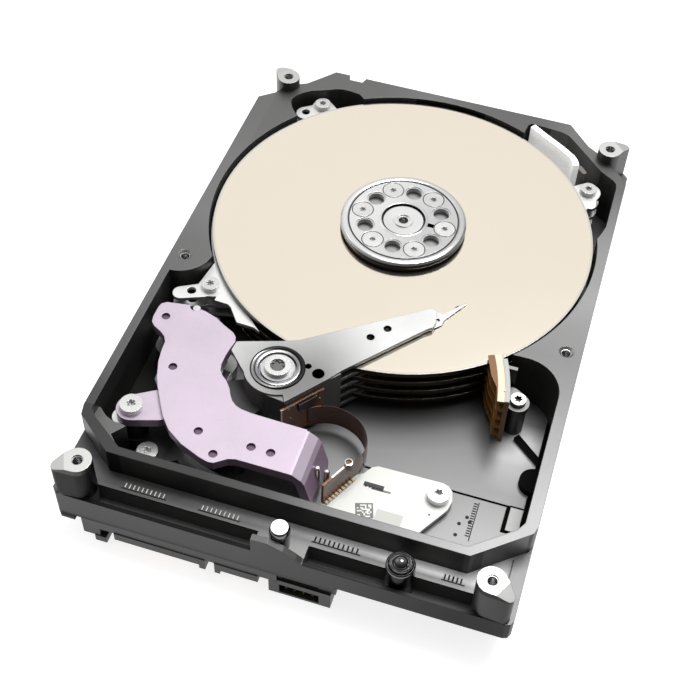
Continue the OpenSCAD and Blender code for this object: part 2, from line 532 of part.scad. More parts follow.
/* ---- flex circuit ---- */
module flex_bracket() color([0.94, 0.94, 0.93]) difference() {
  union() {
    slab(bk_z - 1, bk_z) polygon([[2.4, -58.4], [3.8, -54.8], [8.6, -45.4], [10.7, -44], [12, -41.9], [13.2, -41.2], [28.1, -40.9], [29.6, -41.3],
      [30.8, -42.5], [31.4, -45], [30.9, -47.5], [27.1, -53.9], [23.6, -60.4], [4, -60.4]]);
  }
  rod(bk_s, 1.1, 5, 30, 32);
  rod([8, -57.5], 1.0, bk_z - 0.5, 30, 32);
  box(13.4, 17.8, -47.5, -47.0, bk_z - 0.5, 30);
}
module flex_stiffener() color([0.5, 0.3, 0.12]) difference() {
  slab(bk_z, 17.4) ribbon([[4.3, -54.4], [8.5, -45.9]], 0.68);
}
module bracket_screw() color([0.9, 0.9, 0.9]) screw(bk_s, 2.5, bk_z, bk_z + 1.9, 0.95, 7, 1.1);
module flex_connector() color([0.15, 0.15, 0.15]) box(10.6, 25.4, -58.4, -53.6, 3.2, bk_z - 1);
flex_path = [[5.1, -53.8], [7.0, -50.0], [8.9, -46.1], [9.9, -44.0], [10.25, -42.2], [10.1, -40.4], [9.3, -38.4], [8.2, -36.8], [6.7, -35.4],
  [5.0, -34.4], [3.2, -33.8], [1.4, -33.5], [-0.4, -33.6], [-2.2, -34.1], [-3.8, -34.9], [-5.2, -35.9]];
module flex_cable() color([0.28, 0.14, 0.06]) slab(11.0, 17.6) ribbon(flex_path, 0.2);

/* ---- drive board and connectors ---- */
module pcb() color([0.05, 0.25, 0.12]) difference() {
  slab(1.3, 2.8) pcb_outline();
  for (p = [[-40, -60.5], [40, -60.5], [-40, -2], [40, -2], [-18.6, 11], [18.6, 11]]) rod(p, 1.2, 0, 5, 24);
}
module pcb_insulator() color([0.12, 0.12, 0.12]) slab(4.5, 5.15) difference() {
  polygon([[-42, -50], [42, -50], [42, 0], [35, 7], [22, 7], [-22, 7], [-35, 7], [-42, 0]]);
  translate(C) circle(r = 19);
  for (p = [[-40, -2], [40, -2]]) translate(p) circle(r = 2.4);
}
module pcb_screws() color([0.75, 0.75, 0.77])
  for (p = [[-40, -60.5], [40, -60.5], [-40, -2], [40, -2], [-18.6, 11], [18.6, 11]]) translate([0, 0, 2]) mirror([0, 0, 1]) screw(p, 2.0, 0.7, 1.5, 0.9, -5.0, 0.9);
module controller_chip() color([0.08, 0.08, 0.08]) box(-26, -10, -46, -30, 2.8, 4.1);
module cache_chip() color([0.08, 0.08, 0.08]) box(12, 24, -44, -33, 2.8, 3.9);
module motor_driver_chip() color([0.08, 0.08, 0.08]) box(2, 10, -18, -10, 2.8, 3.9);
module sata_housing() color([0.1, 0.1, 0.1]) {
  box(-45, 0.3, -73.2, -65.6, 5.2, 8.4);
  box(-44, -1.7, -68.4, -65.6, 2.8, 5.3);
  box(-45, -41, -73.2, -66.4, 2.3, 5.3);
  box(-42.3, -39.6, -73.4, -70, 0.4, 2.4);
  // power tongue and signal tongue, each with its keyed end
  box(-37.5, -16.2, -73.4, -68, 2.9, 5.3);
  box(-17.6, -16.2, -73.4, -68, 1.6, 3);
  box(-14, -4, -73.4, -68, 2.9, 5.3);
  box(-14, -12.8, -73.4, -68, 1.6, 3);
}
module sata_contacts() color([0.8, 0.65, 0.3]) {
  for (i = [0:14]) box(-36.7 + 1.27*i, -35.9 + 1.27*i, -72.8, -68.6, 2.70, 2.90);
  for (i = [0:6]) box(-11.9 + 1.1*i, -11.2 + 1.1*i, -72.8, -68.6, 2.70, 2.90);
}
module jumper_housing() color([0.12, 0.12, 0.12]) difference() {
  union() {
    box(-1.6, 12.4, -73.2, -66, 0.6, 5.15);
    box(0.4, 12.4, -73.2, -66, 5.1, 6);
    box(0.4, 13.4, -72.6, -65.6, 5.9, 8.4);
  }
  box(0.8, 9.8, -74, -67.2, 1.3, 4.4);
  box(1.4, 9.6, -74, -70.6, 6.2, 9);
}
module jumper_pins() color([0.8, 0.65, 0.3]) for (i = [0:3], j = [0:1]) box(1.9 + 2*i, 2.4 + 2*i, -72.4, -67.2, 1.85 + 1.6*j, 2.35 + 1.6*j);

base_casting();
locating_stud();
vent_plug();
breather_filter();
spindle_shaft();
motor_bracket();
motor_screws();
stator_core();
stator_coils();
spindle_hub();
rotor_magnet();
platter_1();
platter_2();
platter_3();
platter_4();
disk_spacers();
disk_clamp();
clamp_screws();
actuator_arms();
pivot_bearing();
pivot_shaft();
pivot_screw();
voice_coil();
coil_frame();
head_suspensions();
slider_heads();
arm_flex();
preamp_chip();
top_yoke();
bottom_yoke();
top_magnet();
bottom_magnet();
yoke_standoffs();
yoke_screws();
crash_stops();
latch_pin();
latch_lever();
damper_plates();
damper_spacers();
damper_screws();
load_ramp();
ramp_screw();
recirc_filter();
filter_holder();
flex_bracket();
flex_stiffener();
bracket_screw();
flex_connector();
flex_cable();
pcb();
pcb_insulator();
pcb_screws();
controller_chip();
cache_chip();
motor_driver_chip();
sata_housing();
sata_contacts();
jumper_housing();
jumper_pins();
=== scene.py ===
import bpy, bmesh, math, random
from mathutils import Vector, Matrix


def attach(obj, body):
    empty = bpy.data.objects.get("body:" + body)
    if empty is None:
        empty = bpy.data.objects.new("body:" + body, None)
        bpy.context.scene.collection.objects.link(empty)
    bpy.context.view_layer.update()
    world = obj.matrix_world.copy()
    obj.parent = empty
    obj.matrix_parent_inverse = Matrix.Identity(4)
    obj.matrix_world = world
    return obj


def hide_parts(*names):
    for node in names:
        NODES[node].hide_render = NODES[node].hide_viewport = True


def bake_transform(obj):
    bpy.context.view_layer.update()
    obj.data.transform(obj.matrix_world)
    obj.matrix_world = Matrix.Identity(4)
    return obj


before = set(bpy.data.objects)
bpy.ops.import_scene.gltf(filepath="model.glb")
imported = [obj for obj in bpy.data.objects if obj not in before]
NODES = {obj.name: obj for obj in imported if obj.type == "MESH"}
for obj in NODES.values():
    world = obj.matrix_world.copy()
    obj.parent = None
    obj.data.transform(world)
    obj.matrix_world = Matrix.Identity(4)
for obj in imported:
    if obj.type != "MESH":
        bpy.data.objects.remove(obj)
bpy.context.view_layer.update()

MM = 0.001
C = Vector((0, 22.6))          # spindle axis
P = Vector((-14, -31.5))       # actuator pivot
scene = bpy.context.scene


# ------------------------------------------------------------------ camera
def camera():
    az, el, roll = math.radians(15.33), math.radians(50.519), math.radians(2.782)
    back = Vector((math.sin(az) * math.cos(el), -math.cos(az) * math.cos(el), math.sin(el)))
    fwd = -back
    right = fwd.cross(Vector((0, 0, 1))).normalized()
    up = right.cross(fwd)
    r2 = right * math.cos(roll) + up * math.sin(roll)
    u2 = -right * math.sin(roll) + up * math.cos(roll)
    m = Matrix((r2, u2, back)).transposed().to_4x4()
    m.translation = Vector((0.04807, -0.19716, 0.244832))
    data = bpy.data.cameras.new("camera")
    cam = bpy.data.objects.new("camera", data)
    scene.collection.objects.link(cam)
    cam.matrix_world = m
    data.sensor_width = 36
    data.lens = 64.61
    data.clip_start, data.clip_end = 0.01, 20
    scene.camera = cam


camera()


# ------------------------------------------------------------------ stage
def aim(o, at=(0, 0, 0.01)):
    d = Vector(at) - o.location
    o.rotation_euler = d.to_track_quat("-Z", "Y").to_euler()


def area(name, azim, elev, dist, size, power, size_y=None, colour=(1, 1, 1)):
    """A soft panel seen from the drive at that azimuth (0 = behind, clockwise) and elevation."""
    a, e = math.radians(azim), math.radians(elev)
    light = bpy.data.lights.new(name, "AREA")
    light.energy = power
    light.color = colour
    light.shape = "RECTANGLE"
    light.size = size
    light.size_y = size_y or size
    o = bpy.data.objects.new(name, light)
    scene.collection.objects.link(o)
    o.location = (dist * math.sin(a) * math.cos(e), dist * math.cos(a) * math.cos(e), dist * math.sin(e))
    aim(o)
    return o


def stage():
    world = bpy.data.worlds.new("studio")
    scene.world = world
    world.use_nodes = True
    nt = world.node_tree
    nt.nodes.clear()
    out = nt.nodes.new("ShaderNodeOutputWorld")
    bg = nt.nodes.new("ShaderNodeBackground")
    tc = nt.nodes.new("ShaderNodeTexCoord")
    dot = nt.nodes.new("ShaderNodeVectorMath")
    dot.operation = "DOT_PRODUCT"
    dot.inputs[1].default_value = Vector((-0.26, 0.62, 0.74)).normalized()
    ramp = nt.nodes.new("ShaderNodeValToRGB")
    e = ramp.color_ramp.elements
    e[0].position, e[0].color = 0.20, (0.05, 0.05, 0.05, 1)
    e[1].position, e[1].color = 1.0, (1.0, 0.995, 0.985, 1)
    for at, v in ((0.50, 0.13), (0.66, 0.34), (0.80, 0.78)):
        mid = e.new(at)
        mid.color = (v, v, v, 1)
    mr = nt.nodes.new("ShaderNodeMapRange")
    mr.inputs["From Min"].default_value = -1
    mr.inputs["From Max"].default_value = 1
    nt.links.new(tc.outputs["Generated"], dot.inputs[0])
    nt.links.new(dot.outputs["Value"], mr.inputs["Value"])
    nt.links.new(mr.outputs["Result"], ramp.inputs["Fac"])
    nt.links.new(ramp.outputs["Color"], bg.inputs["Color"])
    bg.inputs["Strength"].default_value = 1.0
    nt.links.new(bg.outputs["Background"], out.inputs["Surface"])

    area("key", 26, 73, 1.5, 0.75, 23)
    area("fill_left", -80, 40, 1.6, 0.8, 2.0)

    me = bpy.data.meshes.new("floor")
    s = 6.0
    me.from_pydata([(-s, -s, 0), (s, -s, 0), (s, s, 0), (-s, s, 0)], [], [(0, 1, 2, 3)])
    floor = bpy.data.objects.new("floor", me)
    floor.location.z = -0.00005
    scene.collection.objects.link(floor)
    m = bpy.data.materials.new("floor")
    m.use_nodes = True
    b = m.node_tree.nodes["Principled BSDF"]
    b.inputs["Base Color"].default_value = (0.40, 0.40, 0.40, 1)
    b.inputs["Roughness"].default_value = 0.9
    b.inputs["Specular IOR Level"].default_value = 0.1
    b.inputs["Emission Color"].default_value = (1, 1, 1, 1)
    b.inputs["Emission Strength"].default_value = 0.82
    me.materials.append(m)
    scene.view_settings.view_transform = "Standard"


stage()


# ------------------------------------------------------------------ materials
def lin(c):
    """0-255 display values to linear."""
    r = []
    for v in c:
        v = v / 255.0
        r.append(v / 12.92 if v <= 0.04045 else ((v + 0.055) / 1.055) ** 2.4)
    return tuple(r)


class Mat:
    """A Principled material whose colour, roughness and relief come from noise in the row frame, in metres."""

    def __init__(self, name, rgb, rough=0.5, metal=0.0, spec=0.5, grain=2500.0, bump=0.15, depth=0.00003,
                 vary=0.06, patch=90.0, rvary=0.08, bevel=0.00015, edge=0.0, edge_rgb=(200, 200, 200),
                 stretch=None, rings=None, ring_scale=9000.0, coat=0.0, coat_rough=0.1, aniso=0.0):
        self.m = bpy.data.materials.new(name)
        self.m.use_nodes = True
        nt = self.nt = self.m.node_tree
        self.b = nt.nodes["Principled BSDF"]
        self.rgb = lin(rgb)
        self.tc = nt.nodes.new("ShaderNodeTexCoord")
        self.co = self.tc.outputs["Object"]
        b = self.b
        b.inputs["Specular IOR Level"].default_value = spec
        if coat:
            b.inputs["Coat Weight"].default_value = coat
            b.inputs["Coat Roughness"].default_value = coat_rough
        # fine grain, stretched along a direction or wound round an axis
        if rings is not None:
            src = self.radius(rings)
            fine = nt.nodes.new("ShaderNodeTexNoise")
            fine.noise_dimensions = "1D"
            nt.links.new(src, fine.inputs["W"])
            fine.inputs["Scale"].default_value = ring_scale
        else:
            fine = nt.nodes.new("ShaderNodeTexNoise")
            src = self.co
            if stretch:
                mp = nt.nodes.new("ShaderNodeMapping")
                mp.inputs["Scale"].default_value = stretch
                nt.links.new(src, mp.inputs["Vector"])
                src = mp.outputs["Vector"]
            nt.links.new(src, fine.inputs["Vector"])
            fine.inputs["Scale"].default_value = grain
        fine.inputs["Detail"].default_value = 4
        self.fine = fine.outputs["Fac"]
        big = nt.nodes.new("ShaderNodeTexNoise")
        big.inputs["Scale"].default_value = patch
        big.inputs["Detail"].default_value = 5
        nt.links.new(self.co, big.inputs["Vector"])
        self.big = big.outputs["Fac"]
        # colour
        mix = self.add(self.big, self.fine, 0.6, 0.4)
        dark = tuple(v * (1 - vary) for v in self.rgb)
        light = tuple(min(1.0, v * (1 + vary)) for v in self.rgb)
        self.colour = self.mix(self.spread(mix, 0.3, 0.7), dark, light)
        self.metal = None
        self.metal_value = metal
        self.rough = self.spread(self.add(self.fine, self.big, 0.5, 0.5), 0.25, 0.75, rough - rvary, rough + rvary)
        # rounded edges and relief
        self.normal = None
        if bevel:
            bv = nt.nodes.new("ShaderNodeBevel")
            bv.samples = 4
            bv.inputs["Radius"].default_value = bevel
            self.normal = bv.outputs["Normal"]
            # lighter edges: partly wear, partly a painted highlight where the edges catch the light
            if edge:
                g = nt.nodes.new("ShaderNodeNewGeometry")
                d = nt.nodes.new("ShaderNodeVectorMath")
                d.operation = "DOT_PRODUCT"
                nt.links.new(g.outputs["Normal"], d.inputs[0])
                nt.links.new(bv.outputs["Normal"], d.inputs[1])
                edge_wear_and_glint = self.spread(d.outputs["Value"], 0.999, 0.93, 0.0, edge)
                edge_wear_and_glint = self.maths("MULTIPLY", edge_wear_and_glint, self.spread(self.big, 0.35, 0.65, 0.4, 1.0))
                self.colour = self.mix(edge_wear_and_glint, self.colour, lin(edge_rgb))
        if bump:
            self.relief(self.fine, bump, depth)

    # small node helpers
    def maths(self, op, a, b=None, c=None, clamp=False):
        n = self.nt.nodes.new("ShaderNodeMath")
        n.operation = op
        n.use_clamp = clamp
        for i, v in enumerate((a, b, c)):
            if v is None:
                continue
            if isinstance(v, (int, float)):
                n.inputs[i].default_value = v
            else:
                self.nt.links.new(v, n.inputs[i])
        return n.outputs[0]

    def add(self, a, b, ka, kb):
        return self.maths("ADD", self.maths("MULTIPLY", a, ka), self.maths("MULTIPLY", b, kb))

    def spread(self, v, lo, hi, a=0.0, b=1.0):
        n = self.nt.nodes.new("ShaderNodeMapRange")
        n.clamp = True
        self.nt.links.new(v, n.inputs["Value"])
        n.inputs["From Min"].default_value = lo
        n.inputs["From Max"].default_value = hi
        n.inputs["To Min"].default_value = a
        n.inputs["To Max"].default_value = b
        return n.outputs["Result"]

    def mix(self, f, a, b, mode="MIX"):
        n = self.nt.nodes.new("ShaderNodeMix")
        n.data_type = "RGBA"
        n.blend_type = mode
        if isinstance(f, (int, float)):
            n.inputs[0].default_value = f
        else:
            self.nt.links.new(f, n.inputs[0])
        for i, v in ((6, a), (7, b)):
            if isinstance(v, tuple):
                n.inputs[i].default_value = (*v, 1)
            else:
                self.nt.links.new(v, n.inputs[i])
        return n.outputs[2]

    def xyz(self):
        if not hasattr(self, "_xyz"):
            n = self.nt.nodes.new("ShaderNodeSeparateXYZ")
            self.nt.links.new(self.co, n.inputs[0])
            self._xyz = n.outputs
        return self._xyz

    def facing(self, lo=0.5, hi=0.8):
        """1 on faces that look up."""
        g = self.nt.nodes.new("ShaderNodeNewGeometry")
        n = self.nt.nodes.new("ShaderNodeSeparateXYZ")
        self.nt.links.new(g.outputs["Normal"], n.inputs[0])
        return self.spread(n.outputs[2], lo, hi)

    def radius(self, p):
        x, y, z = self.xyz()
        dx, dy = self.maths("SUBTRACT", x, p[0] * MM), self.maths("SUBTRACT", y, p[1] * MM)
        return self.maths("SQRT", self.maths("ADD", self.maths("MULTIPLY", dx, dx), self.maths("MULTIPLY", dy, dy)))

    def above(self, v, at, soft=0.00001):
        return self.spread(v, at - soft, at + soft)

    def below(self, v, at, soft=0.00001):
        return self.spread(v, at - soft, at + soft, 1.0, 0.0)

    def both(self, a, b):
        return self.maths("MULTIPLY", a, b)

    def either(self, a, b):
        return self.maths("MAXIMUM", a, b)

    def paint(self, mask, rgb, rough=None, metal=None):
        """Another colour and finish where mask is 1; used for the thing's own colours and for painted light and shade.
        """
        self.colour = self.mix(mask, self.colour, lin(rgb))
        if rough is not None:
            self.rough = self.add3(mask, self.rough, rough)
        if metal is not None:
            if self.metal is None:
                v = self.nt.nodes.new("ShaderNodeMapRange")
                v.inputs["To Min"].default_value = self.metal_value
                v.inputs["To Max"].default_value = metal
                self.nt.links.new(mask, v.inputs["Value"])
                self.metal = v.outputs["Result"]
            else:
                self.metal = self.add3(mask, self.metal, metal)
        return self

    def tint(self, mask, a, b, t):
        """A colour running from a to b as t goes from 0 to 1, where mask is 1."""
        self.colour = self.mix(mask, self.colour, self.mix(t, lin(a), lin(b)))
        return self

    def level(self, mask, v, stops):
        """A grey that follows stops of (position, display value) along v, where mask is 1."""
        total = None
        for (a, ga), (b, gb) in zip(stops, stops[1:]):
            step = self.spread(v, a, b, 0.0, lin((gb,))[0] - lin((ga,))[0])
            total = self.maths("ADD", step, lin((stops[0][1],))[0] if total is None else total)
        n = self.nt.nodes.new("ShaderNodeCombineColor")
        for i in range(3):
            self.nt.links.new(total, n.inputs[i])
        self.colour = self.mix(mask, self.colour, n.outputs[0])
        return self

    def add3(self, mask, old, new):
        keep = self.maths("MULTIPLY", old, self.maths("SUBTRACT", 1.0, mask))
        return self.maths("ADD", keep, self.maths("MULTIPLY", mask, new))

    def relief(self, height, strength, depth):
        n = self.nt.nodes.new("ShaderNodeBump")
        n.inputs["Strength"].default_value = strength
        n.inputs["Distance"].default_value = depth
        self.nt.links.new(height, n.inputs["Height"])
        if self.normal is not None:
            self.nt.links.new(self.normal, n.inputs["Normal"])
        self.normal = n.outputs["Normal"]
        return self

    def done(self):
        nt, b = self.nt, self.b
        nt.links.new(self.colour, b.inputs["Base Color"])
        nt.links.new(self.rough, b.inputs["Roughness"])
        if self.metal is not None:
            nt.links.new(self.metal, b.inputs["Metallic"])
        else:
            b.inputs["Metallic"].default_value = self.metal_value
        if self.normal is not None:
            nt.links.new(self.normal, b.inputs["Normal"])
        return self.m


def near(m, p, r):
    return m.below(m.radius(p), r * MM)


# cast body: satin charcoal coat, bare metal where a cutter has been
cast = Mat("cast_black", (58, 58, 57), rough=0.40, spec=0.9, grain=4200, bump=0.30, depth=0.00002, vary=0.12, patch=60,
           rvary=0.07, bevel=0.00022, edge=0.5, edge_rgb=(138, 138, 134))
x_, y_, z_ = cast.xyz()
up = cast.facing()
# painted shade: faces that don't look up are painted darker than the tops, the front faces darkest to the right and at
# the foot
side = cast.maths("SUBTRACT", 1.0, up)
cast.paint(side, (50, 50, 49), rough=0.44, metal=1.0)
within = cast.both(side, cast.both(cast.above(y_, -0.0626), cast.above(z_, 0.0076)))
within = cast.both(within, cast.both(cast.both(cast.above(x_, -0.0495), cast.below(x_, 0.0495)), cast.below(y_, 0.0700)))
cast.paint(within, (50, 50, 49), rough=0.44, metal=0.4)
front = cast.both(side, cast.either(cast.below(y_, -0.0726), cast.both(cast.below(y_, -0.0660), cast.below(z_, 0.0104))))
cast.level(front, x_, ((-0.040, 67), (-0.008, 67), (0.016, 56), (0.032, 33), (0.040, 23)))
cast.level(cast.both(front, cast.below(z_, 0.0092, 0.0008)), x_, ((-0.040, 36), (0.008, 44), (0.024, 30)))
# painted sheen: the top of the rim is painted lighter, brighter toward the right front corner
rim = cast.both(up, cast.above(z_, 0.0229))
cast.paint(rim, (70, 70, 69), rough=0.40, metal=1.0)
cast.level(cast.both(rim, cast.below(x_, -0.0250)), y_, ((-0.050, 71), (-0.040, 87), (-0.020, 96), (0.0, 102), (0.010, 111), (0.030, 110), (0.050, 104)))
cast.level(cast.both(rim, cast.above(x_, 0.0250)), y_, ((-0.048, 112), (-0.028, 107), (-0.018, 102), (-0.008, 100), (0.002, 109), (0.012, 122), (0.032, 117), (0.042, 107), (0.052, 93)))
cast.level(cast.both(rim, cast.above(y_, 0.0340, 0.0120)), x_, ((-0.0465, 101), (-0.020, 99), (-0.006, 108), (0.008, 96), (0.024, 92), (0.034, 104), (0.0465, 94)))
cast.level(cast.both(rim, cast.below(x_, -0.0465)), y_, ((-0.050, 71), (-0.040, 87), (-0.020, 96), (0.0, 102), (0.010, 111), (0.030, 110), (0.050, 104)))
cast.level(cast.both(rim, cast.above(x_, 0.0465)), y_, ((-0.048, 112), (-0.028, 107), (-0.018, 102), (-0.008, 100), (0.002, 109), (0.012, 122), (0.032, 117), (0.042, 107), (0.052, 93)))
cast.level(cast.both(rim, cast.below(y_, -0.0540)), x_, ((-0.042, 60), (-0.020, 54), (-0.006, 62), (0.002, 75), (0.010, 87), (0.018, 92), (0.034, 104), (0.042, 111)))
# painted light: the front ledge is painted dark at the left and bright at the right, brighter still beside the rim
# where the rim's shade falls
ledge = cast.both(up, cast.both(cast.above(z_, 0.0158), cast.below(z_, 0.0162)))
ledge = cast.both(ledge, cast.below(y_, -0.0560))
cast.level(ledge, x_, ((-0.040, 34), (-0.024, 40), (-0.008, 64), (0.004, 110), (0.010, 104), (0.018, 84), (0.030, 100), (0.040, 92), (0.0480, 76)))
near_rim = cast.above(y_, -0.0670, 0.0006)
cast.level(cast.both(ledge, near_rim), x_, ((-0.040, 50), (-0.032, 64), (-0.024, 68), (-0.016, 104), (-0.008, 127), (0.004, 170), (0.010, 212), (0.018, 218), (0.024, 255), (0.034, 255), (0.040, 188), (0.0455, 176), (0.0480, 96)))
# painted sheen: the floor of the well is painted a lighter grey, darker toward the platters, with fine cutter marks
inside = cast.both(cast.above(z_, 0.0076), cast.below(z_, 0.0088))
inside = cast.both(inside, cast.both(cast.above(y_, -0.0625), up))
cast.level(inside, y_, ((-0.050, 116), (-0.040, 92), (-0.030, 80)))
cast.rough = cast.add3(inside, cast.rough, 0.34)
# beside the right wall: the floor right of the rib is painted lighter, painted light; a lighter pad on a shallow step;
# the recessed seams and the gap along the wall are painted near black, painted shade
right_floor = cast.both(inside, cast.both(cast.above(x_, 0.0375, 0.002), cast.both(cast.above(y_, -0.0330, 0.005), cast.below(y_, -0.0200, 0.0025))))
cast.level(right_floor, y_, ((-0.030, 150), (-0.024, 178)))
cast.paint(cast.both(inside, cast.both(cast.both(cast.above(x_, 0.0440), cast.below(x_, 0.0469)), cast.both(cast.above(y_, -0.0471), cast.below(y_, -0.0409)))), (140, 140, 137), rough=0.34)
cast.paint(cast.both(cast.both(cast.below(z_, 0.0084), cast.above(z_, 0.0077)), cast.both(cast.both(cast.above(x_, 0.0099), cast.below(y_, -0.0370)), cast.above(y_, -0.0485))), (14, 14, 14), rough=0.7, metal=1.0)
cast.paint(cast.both(inside, cast.both(cast.above(x_, 0.04695), cast.both(cast.below(y_, -0.0140), cast.above(y_, -0.0470)))), (16, 16, 16), rough=0.7, metal=1.0)
boss = cast.both(near(cast, (47.4, -33.6), 3.36), cast.both(cast.above(z_, 0.0087), cast.below(z_, 0.0106)))
cast.paint(boss, (9, 9, 9), rough=0.6, metal=1.0)
# painted shade: the floor between the magnet plate and the left wall is painted near black
cast.paint(cast.both(cast.both(cast.below(x_, -0.0385, 0.003), cast.below(z_, 0.0088)), cast.both(cast.above(z_, 0.0076), cast.below(y_, 0.0100))), (30, 30, 30), rough=0.6, metal=1.0)
# painted shade: the deep pocket at the left front of the floor and the narrow lip are painted near black, and the faces
# of the channel behind the lip a flat dark grey
lip = cast.both(cast.both(cast.below(y_, -0.07255), cast.above(z_, 0.0158)), cast.below(z_, 0.0162))
lip = cast.both(lip, cast.either(cast.both(cast.above(x_, -0.0478), cast.below(x_, -0.0052)), cast.both(cast.above(x_, 0.0060), cast.below(x_, 0.0446))))
groove = cast.both(cast.both(cast.above(y_, -0.0728), cast.below(y_, -0.0686)), cast.below(z_, 0.0156))
cast.paint(lip, (26, 26, 26), rough=0.5, metal=1.0)
cast.level(lip, x_, ((-0.010, 24), (0.030, 44)))
cast.paint(cast.both(groove, cast.above(z_, 0.0105)), (60, 60, 59), rough=0.6, metal=0.0)
corner = cast.both(cast.both(cast.below(x_, -0.0215, 0.004), cast.below(y_, -0.0350, 0.006)), cast.below(z_, 0.0172))
cast.paint(cast.both(corner, cast.both(cast.above(z_, 0.0076), cast.above(y_, -0.0626))), (30, 30, 29), rough=0.5)
shade = cast.both(cast.below(cast.radius(C), 0.0550, 0.0042), cast.both(cast.below(z_, 0.0090), cast.above(z_, 0.0076)))
cast.paint(cast.both(shade, cast.above(y_, -0.0626)), (22, 22, 22), rough=0.55)
# black moulded surround of the vent
vent = cast.both(near(cast, (25.9, -69.3), 3.3), cast.above(z_, 0.0121))
cast.paint(vent, (16, 16, 16), rough=0.22)
# painted shade: the low rib from the ramp to the right wall is painted near black
rib = cast.both(cast.both(cast.both(cast.above(x_, 0.0385), cast.below(x_, 0.0490)), cast.below(y_, -0.0200)), cast.both(cast.above(z_, 0.0086), cast.below(z_, 0.0125)))
cast.paint(cast.both(rib, cast.above(y_, -0.0302)), (12, 12, 12), rough=0.6, metal=1.0)
# the left front post's column lies in the dark
column = cast.both(cast.both(side, cast.both(cast.below(x_, -0.0380), cast.below(y_, -0.0640))), cast.both(cast.above(z_, 0.0163), cast.below(z_, 0.0246)))
cast.paint(column, (30, 30, 30), rough=0.5, metal=1.0)
# painted shade: the right front post's column darkens toward the right
column = cast.both(cast.both(side, cast.both(cast.above(x_, 0.0380), cast.below(y_, -0.0640))), cast.both(cast.above(z_, 0.0163), cast.below(z_, 0.0246)))
cast.level(column, x_, ((0.0400, 70), (0.0490, 46)))
post_top = cast.both(cast.above(z_, 0.0238), cast.facing(0.80, 0.88))
cast.paint(post_top, (178, 178, 176), rough=0.40, metal=0.9)
holes = None
for hx, hy, hr in [(-47.1, -5.4, 1.9), (47.1, -5.4, 1.9)]:
    k = cast.both(near(cast, (hx, hy), hr), cast.both(cast.above(z_, 0.0170), cast.below(z_, 0.02318)))
    holes = k if holes is None else cast.either(holes, k)
for hx, hy in [(-44.6, -70.2), (44.6, -70.2), (-44.6, 63.8), (44.6, 63.8)]:
    k = cast.both(near(cast, (hx, hy), 1.3), cast.below(z_, 0.02605))
    holes = cast.either(holes, k)
cast.paint(holes, (150, 150, 150), rough=0.3, metal=0.9)
CAST = cast.done()

BRIGHT = Mat("bright_steel", (214, 214, 214), rough=0.24, metal=0.95, grain=6000, bump=0.08, vary=0.05, bevel=0.00012, edge=0.2, edge_rgb=(250, 250, 250)).done()
stud = Mat("locating_steel", (232, 232, 231), rough=0.3, metal=0.8, grain=5000, bump=0.06, vary=0.03, bevel=0.00025)
stud.paint(stud.below(stud.xyz()[2], 0.02195), (26, 26, 26), rough=0.2)
STUD = stud.done()
SCREW = Mat("screw_steel", (206, 206, 205), rough=0.26, metal=0.95, grain=5000, bump=0.10, vary=0.07, bevel=0.00012, edge=0.3, edge_rgb=(245, 245, 245)).done()
MACHINED = Mat("machined_alu", (170, 170, 172), rough=0.33, metal=1.0, grain=3000, bump=0.1, vary=0.08, bevel=0.00012).done()
HUB = Mat("hub_alu", (176, 176, 178), rough=0.25, metal=1.0, rings=C, ring_scale=9000, bump=0.3, depth=0.00001, vary=0.06).done()
arm = Mat("arm_alu", (176, 176, 176), rough=0.40, metal=0.9, grain=1500, stretch=(1.0, 5.0, 1.0), bump=0.10, vary=0.04, patch=120, bevel=0.00018, edge=0.4, edge_rgb=(236, 236, 236))
# painted shade: the arm is darker round a point beside the bearing
arm.tint(arm.below(arm.radius((-7.0, -34.5)), 0.0135, 0.009), (104, 104, 103), (104, 104, 103), 0.5)
# painted shade on the arm's face round the bearing bore
arm.paint(arm.both(arm.below(arm.radius(P), 0.0063), arm.facing()), (30, 30, 30), rough=0.3)
# painted shade inside the arm's holes
for q, r_ in (((-4.8, -30.2), 1.42), ((-7.6, -28.9), 0.78), ((3.2, -16.1), 0.98), ((6.2, -12.4), 0.98)):
    arm.paint(arm.both(near(arm, q, r_), arm.below(arm.xyz()[2], 0.02345)), (24, 24, 24), rough=0.5)
ARM = arm.done()
ring = Mat("bearing_steel", (190, 190, 190), rough=0.26, metal=0.95, rings=P, ring_scale=7000, bump=0.5, depth=0.00001, vary=0.05, bevel=0.00010, edge=0.2, edge_rgb=(250, 250, 250))
# painted sheen: the ring is lighter and darker by angle round the pivot
rang = ring.maths("ARCTAN2", ring.maths("SUBTRACT", ring.xyz()[1], P.y * MM), ring.maths("SUBTRACT", ring.xyz()[0], P.x * MM))
ring_sheen = ring.spread(ring.maths("COSINE", ring.maths("MULTIPLY", ring.maths("SUBTRACT", rang, -0.9), 2.0)), -1.0, 1.0)
ring.tint(1.0, (128, 128, 130), (196, 196, 197), ring_sheen)
# painted shade: a dark off-centre crescent at the ring's outer edge
off = ring.radius((P.x - 0.32, P.y - 0.42))
ring.paint(ring.above(off, 0.00556, 0.00006), (34, 34, 34), rough=0.4)
# painted shadow in a thin ring at the inner step
ring.paint(ring.both(ring.above(ring.radius(P), 0.00512), ring.below(ring.radius(P), 0.00526)), (60, 60, 60), rough=0.4)
RING = ring.done()
pscrew = Mat("pivot_steel", (196, 196, 195), rough=0.28, metal=0.95, grain=5000, bump=0.10, vary=0.07, bevel=0.00012, edge=0.3, edge_rgb=(245, 245, 245))
# painted shade in the socket of the pivot screw
socket = pscrew.both(pscrew.below(pscrew.radius(P), 0.00172), pscrew.below(pscrew.xyz()[2], 0.02442))
pscrew.paint(socket, (96, 96, 97), rough=0.35)
PSCREW = pscrew.done()
rscrew = Mat("ramp_steel", (206, 206, 205), rough=0.3, metal=0.9, grain=5000, bump=0.10, vary=0.07, bevel=0.00012)
